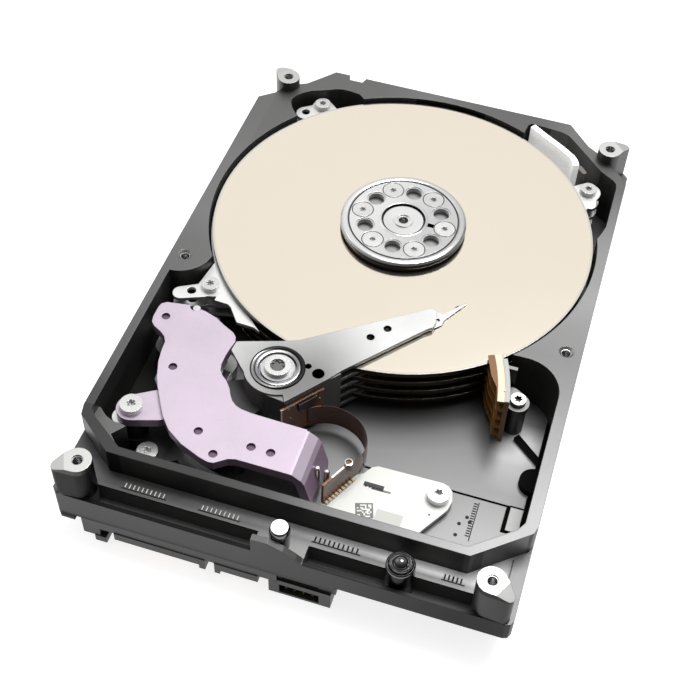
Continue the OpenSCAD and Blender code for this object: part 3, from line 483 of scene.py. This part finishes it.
# painted shade: the ramp screw is painted dark below its head
rscrew.paint(rscrew.below(rscrew.xyz()[2], 0.0191), (60, 60, 60), rough=0.4)
RSCREW = rscrew.done()
DAMP = Mat("damper_alu", (206, 206, 205), rough=0.38, metal=0.8, grain=3200, bump=0.08, vary=0.05, bevel=0.00015, edge=0.3, edge_rgb=(245, 245, 245)).done()
lower = Mat("lower_yoke", (120, 120, 121), rough=0.4, metal=0.8, grain=3000, bump=0.1, vary=0.08, bevel=0.00012)
# painted shade: the front left of the lower yoke, in the deep pocket, is painted near black
lower.paint(lower.both(lower.below(lower.xyz()[0], -0.0300, 0.002), lower.below(lower.xyz()[1], -0.0380, 0.002)), (16, 16, 16), rough=0.6, metal=0.0)
LOWER = lower.done()
stand = Mat("standoff_steel", (190, 190, 190), rough=0.26, metal=0.9, grain=4000, bump=0.1, vary=0.06, bevel=0.00012)
# painted shade: the front of the standoffs, in the deep pocket, is painted near black
stand.paint(stand.below(stand.xyz()[1], -0.0380), (14, 14, 14), rough=0.6, metal=0.0)
STAND = stand.done()
CORE = Mat("core_steel", (110, 110, 114), rough=0.45, metal=0.9, grain=2500, bump=0.15, vary=0.1).done()
MAGD = Mat("magnet_dark", (74, 74, 78), rough=0.5, metal=0.4, grain=2500, bump=0.12, vary=0.1).done()
MAGN = Mat("magnet_nickel", (196, 196, 198), rough=0.2, metal=1.0, grain=3500, bump=0.06, vary=0.05).done()
COIL = Mat("coil_copper", (178, 96, 52), rough=0.32, metal=0.9, rings=P, ring_scale=4500, bump=0.5, depth=0.00006, vary=0.2).done()
BROWN = Mat("chip_brown", (44, 27, 18), rough=0.3, grain=4000, bump=0.1, vary=0.15, bevel=0.0001).done()
RUBBER = Mat("rubber_black", (22, 22, 22), rough=0.35, spec=0.6, grain=3000, bump=0.08, vary=0.1, bevel=0.0002).done()
BLACK = Mat("black_plastic", (40, 40, 40), rough=0.42, spec=0.5, grain=5200, bump=0.15, vary=0.10, bevel=0.00015, edge=0.3, edge_rgb=(110, 110, 110)).done()
GREY = Mat("grey_plastic", (96, 92, 88), rough=0.5, grain=3800, bump=0.12, vary=0.08, bevel=0.00015, edge=0.3, edge_rgb=(170, 168, 164)).done()
CHIP = Mat("chip_black", (30, 30, 31), rough=0.55, grain=9000, bump=0.2, vary=0.12, bevel=0.0001).done()
AMBER = Mat("flex_amber", (112, 58, 24), rough=0.24, spec=0.6, grain=2600, bump=0.06, vary=0.18, patch=240, bevel=0.00005).done()
ramp = Mat("ramp_plastic", (112, 72, 24), rough=0.38, grain=3500, bump=0.12, vary=0.22, bevel=0.00012, edge=0.6, edge_rgb=(208, 164, 110))
ax, ay, az = ramp.xyz()
ar = ramp.radius(P)
crown = ramp.both(ramp.above(az, 0.0228), ramp.facing())
ramp.paint(ramp.both(crown, ramp.above(ar, 0.0497, 0.0001)), (222, 206, 180), rough=0.5)
ramp.paint(ramp.both(crown, ramp.above(ar, 0.0513, 0.0001)), (168, 168, 166), rough=0.4)
# the fixing leg and its collar are a darker grade
leg = ramp.both(ramp.above(ar, 0.05245, 0.0001), ramp.below(az, 0.0235))
ramp.paint(leg, (20, 19, 18), rough=0.45)
ramp.paint(ramp.both(leg, ramp.both(ramp.above(az, 0.01795), ramp.facing())), (150, 150, 147), rough=0.4)
RAMP = ramp.done()
white = Mat("white_bracket", (204, 205, 200), rough=0.5, metal=0.12, grain=3200, bump=0.08, vary=0.03, patch=90, bevel=0.00015, edge=0.3, edge_rgb=(245, 245, 242))
wx, wy, wz = white.xyz()
top = white.both(white.above(wz, 0.01045), white.facing())
patch_ = white.both(white.both(white.above(wx, 0.0162), white.below(wx, 0.0222)), white.both(white.above(wy, -0.0566), white.below(wy, -0.0520)))
white.paint(white.both(patch_, top), (172, 174, 168))
slot_ = white.both(white.both(white.above(wx, 0.01335), white.below(wx, 0.01785)), white.both(white.above(wy, -0.04755), white.below(wy, -0.04695)))
white.paint(white.both(slot_, white.below(wz, 0.01040)), (206, 207, 202), rough=0.5)
WHITE = white.done()
FELT = Mat("filter_felt", (246, 246, 245), rough=0.95, spec=0.1, grain=1400, bump=0.9, depth=0.00018, vary=0.03, patch=400, bevel=0.0002).done()
# painted light: the felt glows faintly so that it reads white
FELT.node_tree.nodes["Principled BSDF"].inputs["Emission Color"].default_value = (1, 1, 0.98, 1)
FELT.node_tree.nodes["Principled BSDF"].inputs["Emission Strength"].default_value = 0.34
PCB = Mat("pcb_green", (22, 70, 42), rough=0.35, spec=0.5, grain=1500, bump=0.10, vary=0.18, patch=300, bevel=0.0001).done()
FOAM = Mat("foam_dark", (34, 34, 35), rough=0.95, spec=0.1, grain=1800, bump=0.7, depth=0.0001, vary=0.15, bevel=0.0001).done()
SPONGE = Mat("filter_sponge", (9, 9, 9), rough=0.95, spec=0.1, grain=1800, bump=0.5, depth=0.00006, vary=0.2, bevel=0.0001).done()
GOLD = Mat("gold", (212, 168, 84), rough=0.24, metal=1.0, grain=3500, bump=0.05, vary=0.06, bevel=0.00005).done()

plate = Mat("lilac_plate", (176, 163, 177), rough=0.46, metal=0.30, grain=1700, bump=0.22, depth=0.00002, vary=0.05, patch=110,
            bevel=0.0003, edge=0.25, edge_rgb=(246, 236, 248))
px, py, pz = plate.xyz()
g = plate.nt.nodes.new("ShaderNodeNewGeometry")
sx = plate.nt.nodes.new("ShaderNodeSeparateXYZ")
plate.nt.links.new(g.outputs["Normal"], sx.inputs[0])
# painted shade: the plate's flanks, which don't look up, are painted a darker lilac than its top
flank = plate.spread(sx.outputs[2], 0.25, 0.6, 1.0, 0.0)
plate.paint(flank, (150, 128, 150), rough=0.34)
# painted shade in the stamped dimples
dimple = None
for q in [(-44.2, -24.4), (-36.9, -37.8), (-24.8, -52.6), (-12.5, -52.9), (-8.0, -53.0), (-19.6, -57.2)]:
    k = plate.both(near(plate, q, 1.02), plate.below(pz, 0.02195))
    dimple = k if dimple is None else plate.either(dimple, k)
plate.paint(dimple, (92, 72, 92))
LILAC = plate.done()

disc = Mat("platter_mirror", (238, 229, 214), rough=0.13, metal=1.0, rings=C, ring_scale=5200, bump=0.015, depth=0.000004, vary=0.006,
           patch=25, rvary=0.02, bevel=0.00008)
rr = disc.radius(C)
dx, dy, dz = disc.xyz()
disc.paint(disc.above(rr, 0.0470, 0.0002), (216, 212, 204), rough=0.16)
gd = disc.nt.nodes.new("ShaderNodeNewGeometry")
sd = disc.nt.nodes.new("ShaderNodeSeparateXYZ")
disc.nt.links.new(gd.outputs["Normal"], sd.inputs[0])
disc.paint(disc.both(disc.above(rr, 0.0465), disc.below(disc.maths("ABSOLUTE", sd.outputs[2]), 0.6, 0.2)), (66, 54, 44), rough=0.25)
PLATTER = disc.done()

clamp = Mat("clamp_metal", (206, 206, 207), rough=0.2, metal=1.0, rings=C, ring_scale=7000, bump=0.7, depth=0.00001, vary=0.05, rvary=0.05,
            bevel=0.00012, edge=0.3, edge_rgb=(250, 250, 250))
# painted sheen: broad lighter and darker wedges round the axis stand in for the spun metal's reflection
ang = clamp.maths("ARCTAN2", clamp.maths("SUBTRACT", clamp.xyz()[1], C.y * MM), clamp.maths("SUBTRACT", clamp.xyz()[0], C.x * MM))
spun_sheen = clamp.spread(clamp.maths("COSINE", clamp.maths("SUBTRACT", ang, 2.97)), -1.0, 1.0)
clamp.tint(1.0, (198, 198, 199), (228, 228, 228), spun_sheen)
cr = clamp.radius(C)
cx_, cy_, cz_ = clamp.xyz()
# painted shade darkens the screw seats, the groove, the slot and the bore; the threaded holes are painted a flatter
# grey so that they read lighter, painted light
for k in range(6):
    a = math.radians(60 * k)
    seat = near(clamp, (C.x + 10.6 * math.cos(a), C.y + 10.6 * math.sin(a)), 2.79)
    clamp.paint(clamp.both(seat, clamp.below(cz_, 0.02436)), (44, 44, 44), rough=0.4)
    a = math.radians(60 * k + 30)
    seat = near(clamp, (C.x + 9.8 * math.cos(a), C.y + 9.8 * math.sin(a)), 2.38)
    clamp.paint(clamp.both(seat, clamp.below(cz_, 0.02436)), (150, 150, 150), rough=0.45, metal=0.3)
gap_ = clamp.both(clamp.both(clamp.above(cr, 0.01345), clamp.below(cr, 0.01395)), clamp.below(cz_, 0.02436))
clamp.paint(gap_, (70, 70, 70), rough=0.35)
slot2 = clamp.both(clamp.both(clamp.above(cx_, 0.00615), clamp.below(cx_, 0.00785)), clamp.both(clamp.above(cy_, 0.0219), clamp.below(cy_, 0.0233)))
clamp.paint(clamp.both(slot2, clamp.below(cz_, 0.02436)), (16, 16, 16), rough=0.5)
clamp.paint(clamp.both(clamp.below(cr, 0.00556), clamp.below(cz_, 0.02436)), (60, 60, 60), rough=0.35)
# painted reflection: the clamp's side is painted dark in place of the bright platter it would mirror
skirt = clamp.both(clamp.above(cr, 0.01515), clamp.below(cz_, 0.02395))
clamp.paint(skirt, (64, 62, 60), rough=0.14)
CLAMP = clamp.done()

# printed circuit film: dark amber with fine copper runs along it
flex = Mat("flex_film", (62, 30, 14), rough=0.22, spec=0.6, grain=2600, bump=0.05, vary=0.2, patch=240, bevel=0.00003)
fx, fy, fz = flex.xyz()
run = flex.maths("FRACT", flex.maths("MULTIPLY", fz, 2100.0))
run = flex.both(flex.below(run, 0.45, 0.05), flex.both(flex.above(fz, 0.0114), flex.below(fz, 0.0172)))
flex.paint(flex.maths("MULTIPLY", run, 0.55), (120, 66, 34), rough=0.25)
flex.paint(flex.above(fz, 0.01752), (176, 140, 104), rough=0.3)
flex.relief(run, 0.25, 0.00002)
FLEX = flex.done()

# ------------------------------------------------------------------ mesh pieces, drawn in millimetres
def rings_mesh(bm, p, prof, n=48, closed=True, a0=0.0):
    """A profile of (radius, height) points turned round the vertical line through p."""
    loops = []
    for r, z in prof:
        if r < 1e-6:
            loops.append([bm.verts.new((p[0], p[1], z))])
        else:
            loops.append([bm.verts.new((p[0] + r * math.cos(a0 + 2 * math.pi * k / n), p[1] + r * math.sin(a0 + 2 * math.pi * k / n), z))
                          for k in range(n)])
    m = len(loops)
    for i in range(m if closed else m - 1):
        a, b = loops[i], loops[(i + 1) % m]
        if len(a) == 1 and len(b) == 1:
            continue
        for k in range(n):
            j = (k + 1) % n
            if len(a) == 1:
                bm.faces.new((a[0], b[j], b[k]))
            elif len(b) == 1:
                bm.faces.new((a[k], a[j], b[0]))
            else:
                bm.faces.new((a[k], a[j], b[j], b[k]))


def block(bm, x0, x1, y0, y1, z0, z1, c=0.05, turn=0.0, at=None):
    """A bar with its upper edges chamfered by c."""
    cx, cy = ((x0 + x1) / 2, (y0 + y1) / 2) if at is None else at
    ca, sa = math.cos(turn), math.sin(turn)

    def v(x, y, z):
        dx, dy = x - cx, y - cy
        return bm.verts.new((cx + dx * ca - dy * sa, cy + dx * sa + dy * ca, z))
    q = [[v(x, y, z) for x, y in ((x0 + k, y0 + k), (x1 - k, y0 + k), (x1 - k, y1 - k), (x0 + k, y1 - k))]
         for z, k in ((z0, 0), (z1 - c, 0), (z1, c))]
    bm.faces.new(reversed(q[0]))
    bm.faces.new(q[2])
    for a, b in ((q[0], q[1]), (q[1], q[2])):
        for k in range(4):
            j = (k + 1) % 4
            bm.faces.new((a[k], a[j], b[j], b[k]))


def piece(name, body, mat, bm, smooth=None, ride=True):
    bmesh.ops.recalc_face_normals(bm, faces=bm.faces[:])
    bmesh.ops.scale(bm, vec=(MM, MM, MM), verts=bm.verts[:])
    me = bpy.data.meshes.new(name)
    bm.to_mesh(me)
    bm.free()
    me.materials.append(mat)
    if smooth is not None:
        for f in me.polygons:
            f.use_smooth = True
        me.set_sharp_from_angle(angle=math.radians(smooth))
    o = bpy.data.objects.new(name, me)
    scene.collection.objects.link(o)
    if ride:
        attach(o, body)
    return o


def thread(bm, p, wall, crest, z0, z1, pitch=0.45, n=28):
    """Thread turns in a hole: a sleeve whose inner face zigzags."""
    prof = [(wall, z0), (wall, z1)]
    z, deep = z1, True
    while z - pitch / 2 > z0:
        prof.append((crest if deep else wall - 0.04, z - 0.02))
        deep = not deep
        z -= pitch / 2
    prof.append((wall - 0.04, z0 + 0.01))
    rings_mesh(bm, p, prof, n)


INK = Mat("ink_grey", (112, 110, 106), rough=0.6, grain=3000, bump=0.05, vary=0.1, bevel=0).done()
# painted highlight and shade on the cast ticks: the left ticks are painted pale and glow faintly, the others are
# painted dark
TICK_LIT = Mat("tick_painted_highlight", (214, 214, 210), rough=0.6, spec=0.2, grain=5000, bump=0.2, vary=0.06, bevel=0.00005).done()
TICK_LIT.node_tree.nodes["Principled BSDF"].inputs["Emission Color"].default_value = (1, 1, 0.98, 1)
TICK_LIT.node_tree.nodes["Principled BSDF"].inputs["Emission Strength"].default_value = 0.08
TICK_SHADED = Mat("tick_painted_shade", (34, 34, 33), rough=0.6, spec=0.2, grain=5000, bump=0.2, vary=0.15, bevel=0.00005).done()
THREAD = Mat("thread_steel", (168, 168, 168), rough=0.24, metal=1.0, grain=4000, bump=0.1, vary=0.1, bevel=0).done()
# painted light: the clamp's threads are a flatter, less metallic grey than the clamp so that they read lighter
CTHREAD = Mat("thread_grey", (176, 176, 175), rough=0.36, metal=0.35, grain=4000, bump=0.1, vary=0.1, bevel=0).done()
GLOSS = Mat("rubber_gloss", (12, 12, 12), rough=0.10, spec=1.0, grain=2500, bump=0.02, vary=0.1, bevel=0.00005, coat=1.0, coat_rough=0.05).done()
CREAM = Mat("terminal_cream", (206, 188, 160), rough=0.5, grain=3000, bump=0.08, vary=0.08, bevel=0.00008, edge=0.3, edge_rgb=(240, 230, 214)).done()
SOLDER = Mat("solder", (214, 214, 212), rough=0.22, metal=0.9, grain=4000, bump=0.08, vary=0.06, bevel=0).done()

# cast tick combs, raised from the ledge and from the floor of the well; the left ones carry a painted highlight, the
# rest painted shade
combs = bmesh.new()
for x0, x1, n in ((-36.1, -27.3, 10), (-18.4, -10.4, 9)):
    for k in range(n):
        x = x0 + (x1 - x0) * k / (n - 1)
        block(combs, x - 0.12, x + 0.12, -67.6, -66.45, 15.97, 16.14, 0.05)
piece("comb_ticks_left", "base", TICK_LIT, combs)
combs = bmesh.new()
for x0, x1 in ((-36.9, -26.5), (-19.2, -9.7)):
    block(combs, x0, x1, -67.95, -67.70, 15.97, 16.12, 0.05)
for x0, x1, n in ((6.8, 16.0, 10), (34.9, 38.4, 5)):
    for k in range(n):
        x = x0 + (x1 - x0) * k / (n - 1)
        block(combs, x - 0.17, x + 0.17, -67.3, -66.1, 15.97, 16.14, 0.05)
    block(combs, x0 - 0.6, x1 + 0.9, -67.65, -67.38, 15.97, 16.12, 0.05)
for k in range(14):
    y = -42.6 - 8.6 * k / 13
    block(combs, 36.0, 36.85, y - 0.13, y + 0.13, 8.47, 8.62, 0.04)
block(combs, 36.95, 37.17, -52.3, -42.1, 8.47, 8.60, 0.04)
for q in ((35.36, -46.6), (34.07, -48.7), (33.97, -51.7), (36.2, -47.7)):
    rings_mesh(combs, q, [(0, 8.47), (0.42, 8.47), (0.42, 8.56), (0.34, 8.60), (0, 8.60)], 20, closed=False)
piece("comb_ticks", "base", TICK_SHADED, combs)

# threads in the cover-screw posts, rim holes and clamp
th = bmesh.new()
for sx in (-1, 1):
    for y in (-70.2, 63.8):
        thread(th, (sx * 44.6, y), 1.249, 1.05, 19.4, 25.75)
    thread(th, (sx * 47.1, -5.4), 1.249, 1.05, 17.4, 22.6)
piece("cover_threads", "base", THREAD, th, 50)
th = bmesh.new()
for k in range(6):
    a = math.radians(60 * k + 30)
    thread(th, (C.x + 9.8 * math.cos(a), C.y + 9.8 * math.sin(a)), 2.345, 2.02, 22.45, 24.2, 0.5, 32)
piece("clamp_threads", "rotor", CTHREAD, th, 50)

# vent plug: glossy dome in a glossy ring
b_ = bmesh.new()
v_ = (25.9, -69.3)
rings_mesh(b_, v_, [(3.08, 19.95), (3.12, 20.25), (3.0, 20.5), (2.75, 20.62), (2.48, 20.5), (2.42, 20.02)], 72)
rings_mesh(b_, v_, [(2.38, 20.95), (2.38, 21.18), (2.2, 21.3), (2.0, 21.2), (1.95, 20.95)], 72)
piece("vent_ring", "base", GLOSS, b_, 40)
b_ = bmesh.new()
dome = [(1.90 * math.cos(math.radians(t)), 20.4 + 1.94 * math.sin(math.radians(t))) for t in range(16, 90, 6)] + [(0, 22.345)]
rings_mesh(b_, v_, [(0, 21.0), (1.6, 21.0)] + dome, 72, closed=False)
piece("vent_dome", "base", GLOSS, b_, 40)

# black collar round the locating stud, and its bright cap
b_ = bmesh.new()
rings_mesh(b_, (0, -69.75), [(1.9, 15.9), (2.28, 15.9), (2.28, 20.6), (2.2, 21.2), (2.05, 21.6), (1.9, 21.75)], 64)
piece("stud_collar", "base", GLOSS, b_, 40)

# polished rim and spun face of the clamp
b_ = bmesh.new()
rings_mesh(b_, C, [(13.95, 24.38), (14.05, 24.50), (14.35, 24.56), (14.75, 24.54), (15.15, 24.44), (15.32, 24.38)], 144)
rings_mesh(b_, C, [(5.55, 24.38), (5.6, 24.46), (5.85, 24.50), (6.05, 24.46), (6.12, 24.38)], 96)
piece("clamp_rim", "rotor", CLAMP, b_, 40)

# dished washer of the pivot bearing
b_ = bmesh.new()
rings_mesh(b_, P, [(6.12, 23.55), (6.16, 23.74), (6.0, 23.86), (5.75, 23.88), (5.5, 23.80), (5.25, 23.62), (5.2, 23.55)], 96)
rings_mesh(b_, P, [(5.12, 23.55), (5.1, 23.66), (4.9, 23.72), (4.55, 23.62), (4.35, 23.3), (4.3, 22.75), (5.12, 22.75)], 96)
piece("bearing_rings", "actuator", RING, b_, 40)

# marks on the flex bracket: frame, random cells, contact block in the slot
rnd = random.Random(7)
b_ = bmesh.new()
ux, uy = Vector((0.9486, 0.3163)), Vector((0.316, -0.9487))
org = Vector((11.15, -52.15))
side_ = 3.95
cells = 11
for i in range(cells):
    for j in range(cells):
        if i in (0, cells - 1) or j in (0, cells - 1) or rnd.random() < 0.5:
            c_ = org + ux * side_ * (i + 0.5) / cells + uy * side_ * (j + 0.5) / cells
            s_ = side_ / cells * 0.5
            block(b_, c_.x - s_, c_.x + s_, c_.y - s_, c_.y + s_, 10.49, 10.515, 0.004, math.atan2(ux.y, ux.x))
rings_mesh(b_, (27.42, -49.86), [(0, 10.49), (0.28, 10.49), (0.28, 10.53), (0, 10.53)], 16, closed=False)
piece("bracket_marks", "base", INK, b_)
b_ = bmesh.new()
block(b_, 11.5, 16.1, -47.1, -46.0, 10.47, 10.62, 0.05)
for k in range(5):
    block(b_, 11.9 + 0.9 * k, 12.3 + 0.9 * k, -47.25, -46.9, 10.47, 10.75, 0.06)
piece("bracket_contacts", "base", CHIP, b_)

# terminal strip, clip and posts beside the flex stiffener
b_ = bmesh.new()
d_ = Vector((8.5 - 4.3, -45.9 + 54.4)).normalized()
n_ = Vector((d_.y, -d_.x))
for k in range(9):
    c_ = Vector((4.3, -54.4)) + d_ * (0.6 + k * 1.04) + n_ * 0.75
    block(b_, c_.x - 0.36, c_.x + 0.36, c_.y - 0.4, c_.y + 0.4, 10.48, 11.15, 0.12, math.atan2(d_.y, d_.x))
piece("terminal_strip", "base", CREAM, b_)
b_ = bmesh.new()
for z in (17.38,):
    rings_mesh(b_, (7.9, -47.1), [(0.95, z), (1.05, z + 0.25), (0.95, z + 0.5), (0.7, z + 0.55), (0.6, z + 0.3), (0.65, z)], 32)
block(b_, 4.35, 8.35, -0.3, 0.3, 17.38, 17.55, 0.06, math.atan2(d_.y, d_.x), (6.35, 0))
for v in b_.verts:
    if abs(v.co.y) < 5:
        v.co.y += -50.2
        v.co.x += 0.05
for q, top in (((1.9, -50.8), 18.3), ((3.9, -50.3), 17.2)):
    rings_mesh(b_, q, [(0, top), (0.45, top - 0.08), (0.66, top - 0.3), (0.7, top - 0.6), (0.7, 13.0 if q[0] < 3 else 8.45), (0, 13.0 if q[0] < 3 else 8.45)], 32, closed=False)
piece("flex_clip", "base", SOLDER, b_, 40)

# solder beads and stiffening frame on the arm's circuit
b_ = bmesh.new()
a_ = Vector((-9.2, -39.9))
u_ = (Vector((-2.9, -31.7)) - a_).normalized()
m_ = Vector((u_.y, -u_.x))
for s, z in ((0.6, 20.6), (2.0, 20.9), (7.9, 20.2), (8.9, 18.6), (1.0, 17.0), (6.2, 15.6), (8.6, 13.4)):
    c_ = a_ + u_ * s + m_ * 0.44
    o_ = len(b_.verts)
    rings_mesh(b_, (0, 0), [(0, 0.16), (0.16, 0.12), (0.25, 0.0), (0.25, -0.04), (0, -0.04)], 12, closed=False)
    b_.verts.ensure_lookup_table()
    for v in b_.verts[o_:]:
        q = v.co.copy()
        xy = c_ + u_ * q.x + m_ * q.z
        v.co = Vector((xy.x, xy.y, z + q.y))
for s0, s1, z0, z1 in ((-1.6, -1.25, 11.4, 21.55), (-1.6, 10.0, 21.3, 21.6), (-1.6, 2.6, 11.2, 11.6)):
    q = [a_ + u_ * s0 + m_ * 0.40, a_ + u_ * s1 + m_ * 0.40, a_ + u_ * s1 + m_ * 0.56, a_ + u_ * s0 + m_ * 0.56]
    lo_ = [b_.verts.new((w.x, w.y, z0)) for w in q]
    hi_ = [b_.verts.new((w.x, w.y, z1)) for w in q]
    b_.faces.new(reversed(lo_))
    b_.faces.new(hi_)
    for k in range(4):
        b_.faces.new((lo_[k], lo_[(k + 1) % 4], hi_[(k + 1) % 4], hi_[k]))
piece("arm_beads", "actuator", SOLDER, b_, 40)

# thickened corner of the wall, and the shim under the lowered ear
b_ = bmesh.new()
q = [(-48.3, -52.2), (-46.2, -54.0), (-44.2, -54.8), (-40.8, -55.2), (-43.1, -58.3), (-40.6, -60.7), (-42.0, -62.0), (-49.3, -56.4), (-49.3, -52.2)]
lo_ = [b_.verts.new((x, y, 8.45)) for x, y in q]
mid_ = [b_.verts.new((x, y, 20.1)) for x, y in q]
cx0, cy0 = sum(x for x, y in q) / len(q), sum(y for x, y in q) / len(q)
hi_ = [b_.verts.new((x + (cx0 - x) * 0.03, y + (cy0 - y) * 0.03, 20.25)) for x, y in q]
b_.faces.new(reversed(lo_))
b_.faces.new(hi_)
for a, b in ((lo_, mid_), (mid_, hi_)):
    for k in range(len(q)):
        b_.faces.new((a[k], a[(k + 1) % len(q)], b[(k + 1) % len(q)], b[k]))
piece("corner_gusset", "base", CAST, b_)
b_ = bmesh.new()
rings_mesh(b_, (-43.4, -51.6), [(0, 17.3), (2.55, 17.3), (2.6, 17.4), (2.6, 18.1), (2.45, 18.25), (0, 18.25)], 48, closed=False)
piece("ear_shim", "base", BRIGHT, b_, 40)

# flex circuit: a thin printed ribbon in a loop, running from the bracket to the arm
path = [(4.4, -54.55), (5.1, -53.2), (7.0, -49.5), (8.9, -45.9), (9.9, -44.0), (10.25, -42.2), (10.1, -40.4), (9.3, -38.4), (8.2, -36.8), (6.7, -35.4),
        (5.0, -34.4), (3.2, -33.8), (1.4, -33.5), (-0.4, -33.6), (-2.2, -34.1), (-3.8, -34.9), (-5.2, -35.9)]


def curve(pts, k):
    out = []
    for i in range(len(pts) - 1):
        p0, p1, p2, p3 = (Vector(pts[max(i - 1, 0)]), Vector(pts[i]), Vector(pts[i + 1]), Vector(pts[min(i + 2, len(pts) - 1)]))
        for s in range(k):
            t = s / k
            out.append(0.5 * ((2 * p1) + (p2 - p0) * t + (2 * p0 - 5 * p1 + 4 * p2 - p3) * t * t + (3 * p1 - p0 - 3 * p2 + p3) * t ** 3))
    out.append(Vector(pts[-1]))
    return out


line = curve(path, 7)
b_ = bmesh.new()
half, rows = 0.055, 14
grid_ = []
for i, q in enumerate(line):
    d = (line[min(i + 1, len(line) - 1)] - line[max(i - 1, 0)]).normalized()
    nrm = Vector((-d.y, d.x))
    sag = 0.25 * math.sin(math.pi * i / (len(line) - 1))
    ring = []
    for side_sign, order in ((1, range(rows + 1)), (-1, range(rows, -1, -1))):
        for j in order:
            z = 11.0 - sag + 6.6 * j / rows
            belly = 0.10 * math.sin(math.pi * j / rows)
            w = q + nrm * (side_sign * half - belly)
            ring.append(b_.verts.new((w.x, w.y, z)))
    grid_.append(ring)
for a, b in zip(grid_, grid_[1:]):
    for k in range(len(a)):
        j = (k + 1) % len(a)
        b_.faces.new((a[k], a[j], b[j], b[k]))
b_.faces.new(grid_[0])
b_.faces.new(reversed(grid_[-1]))
ribbon = piece("flex_ribbon", "base", FLEX, b_, 60, ride=False)
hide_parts("flex_cable")
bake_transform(ribbon)

# small parts, pads and edge contacts on the underside of the drive board
rnd = random.Random(11)
parts_, pads_, seen = bmesh.new(), bmesh.new(), []


def free(x, y, r):
    if not (-41.5 < x < 41.5 and -64 < y < 1 - max(0, abs(x) - 36)):
        return False
    if math.hypot(x, y - 22.6) < 19.5 + r or (9.5 < x < 26.5 and -60 < y < -52):
        return False
    for sx, sy in ((-40, -60.5), (40, -60.5), (-40, -2), (40, -2), (-18.6, 11), (18.6, 11)):
        if math.hypot(x - sx, y - sy) < 3.2 + r:
            return False
    return all(math.hypot(x - a, y - b) > r + c for a, b, c in seen)


for _ in range(900):
    x, y = rnd.uniform(-41, 41), rnd.uniform(-63, 6)
    kind = rnd.choice("ccrrrptt")
    r = {"c": 1.5, "r": 1.1, "p": 2.6, "t": 0.8}[kind]
    if len(seen) > 150 or not free(x, y, r):
        continue
    seen.append((x, y, r))
    lx, ly = {"c": (1.0, 0.62), "r": (0.72, 0.42), "p": (2.1, 1.6), "t": (0, 0)}[kind]
    if rnd.random() < 0.5:
        lx, ly = ly, lx
    if kind == "t":
        rings_mesh(pads_, (x, y), [(0, 1.255), (0.42, 1.255), (0.47, 1.275), (0.47, 1.31), (0, 1.31)], 16, closed=False)
    else:
        h = {"c": 0.72, "r": 0.88, "p": 0.35}[kind]
        n0 = len(parts_.verts)
        block(parts_, x - lx, x + lx, y - ly, y + ly, 0, 1.3 - h, 0.07)
        parts_.verts.ensure_lookup_table()
        for v in parts_.verts[n0:]:
            v.co.z = 1.3 - v.co.z
        if kind != "p":
            for s in (-1, 1):
                ex, ey = (lx, 0) if lx > ly else (0, ly)
                block(pads_, x + s * ex - (0.28 if ex else lx + 0.12), x + s * ex + (0.28 if ex else lx + 0.12),
                      y + s * ey - (0.28 if ey else ly + 0.12), y + s * ey + (0.28 if ey else ly + 0.12), 1.24, 1.31, 0.01)
for k in range(12):
    for s in (-57.6, -54.6):
        block(pads_, 11.6 + 1.08 * k, 12.2 + 1.08 * k, s - 0.9, s + 0.9, 1.25, 1.31, 0.01)
piece("board_parts", "base", CHIP, parts_)
piece("board_pads", "base", GOLD, pads_)


FINISH = {
    "base_casting": CAST, "locating_stud": STUD, "vent_plug": RUBBER, "breather_filter": SPONGE,
    "spindle_shaft": BRIGHT, "motor_bracket": MACHINED, "motor_screws": SCREW, "stator_core": CORE,
    "stator_coils": COIL, "spindle_hub": HUB, "rotor_magnet": MAGD, "platter_1": PLATTER, "platter_2": PLATTER,
    "platter_3": PLATTER, "platter_4": PLATTER, "disk_spacers": HUB, "disk_clamp": CLAMP, "clamp_screws": SCREW,
    "actuator_arms": ARM, "pivot_bearing": RING, "pivot_shaft": MACHINED, "pivot_screw": PSCREW,
    "voice_coil": COIL, "coil_frame": BLACK, "head_suspensions": BRIGHT, "slider_heads": CHIP,
    "arm_flex": AMBER, "preamp_chip": BROWN, "top_yoke": LILAC, "bottom_yoke": LOWER, "top_magnet": MAGN,
    "bottom_magnet": MAGN, "yoke_standoffs": STAND, "yoke_screws": SCREW, "crash_stops": RUBBER,
    "latch_pin": BRIGHT, "latch_lever": BLACK, "damper_plates": DAMP, "damper_spacers": MACHINED,
    "damper_screws": SCREW, "load_ramp": RAMP, "ramp_screw": RSCREW, "recirc_filter": FELT,
    "filter_holder": GREY, "flex_bracket": WHITE, "flex_stiffener": AMBER, "bracket_screw": SCREW,
    "flex_connector": BLACK, "flex_cable": AMBER, "pcb": PCB, "pcb_insulator": FOAM, "pcb_screws": SCREW,
    "controller_chip": CHIP, "cache_chip": CHIP, "motor_driver_chip": CHIP, "sata_housing": BLACK,
    "sata_contacts": GOLD, "jumper_housing": BLACK, "jumper_pins": GOLD,
}
for n, o in NODES.items():
    o.data.materials.clear()
    o.data.materials.append(FINISH[n])
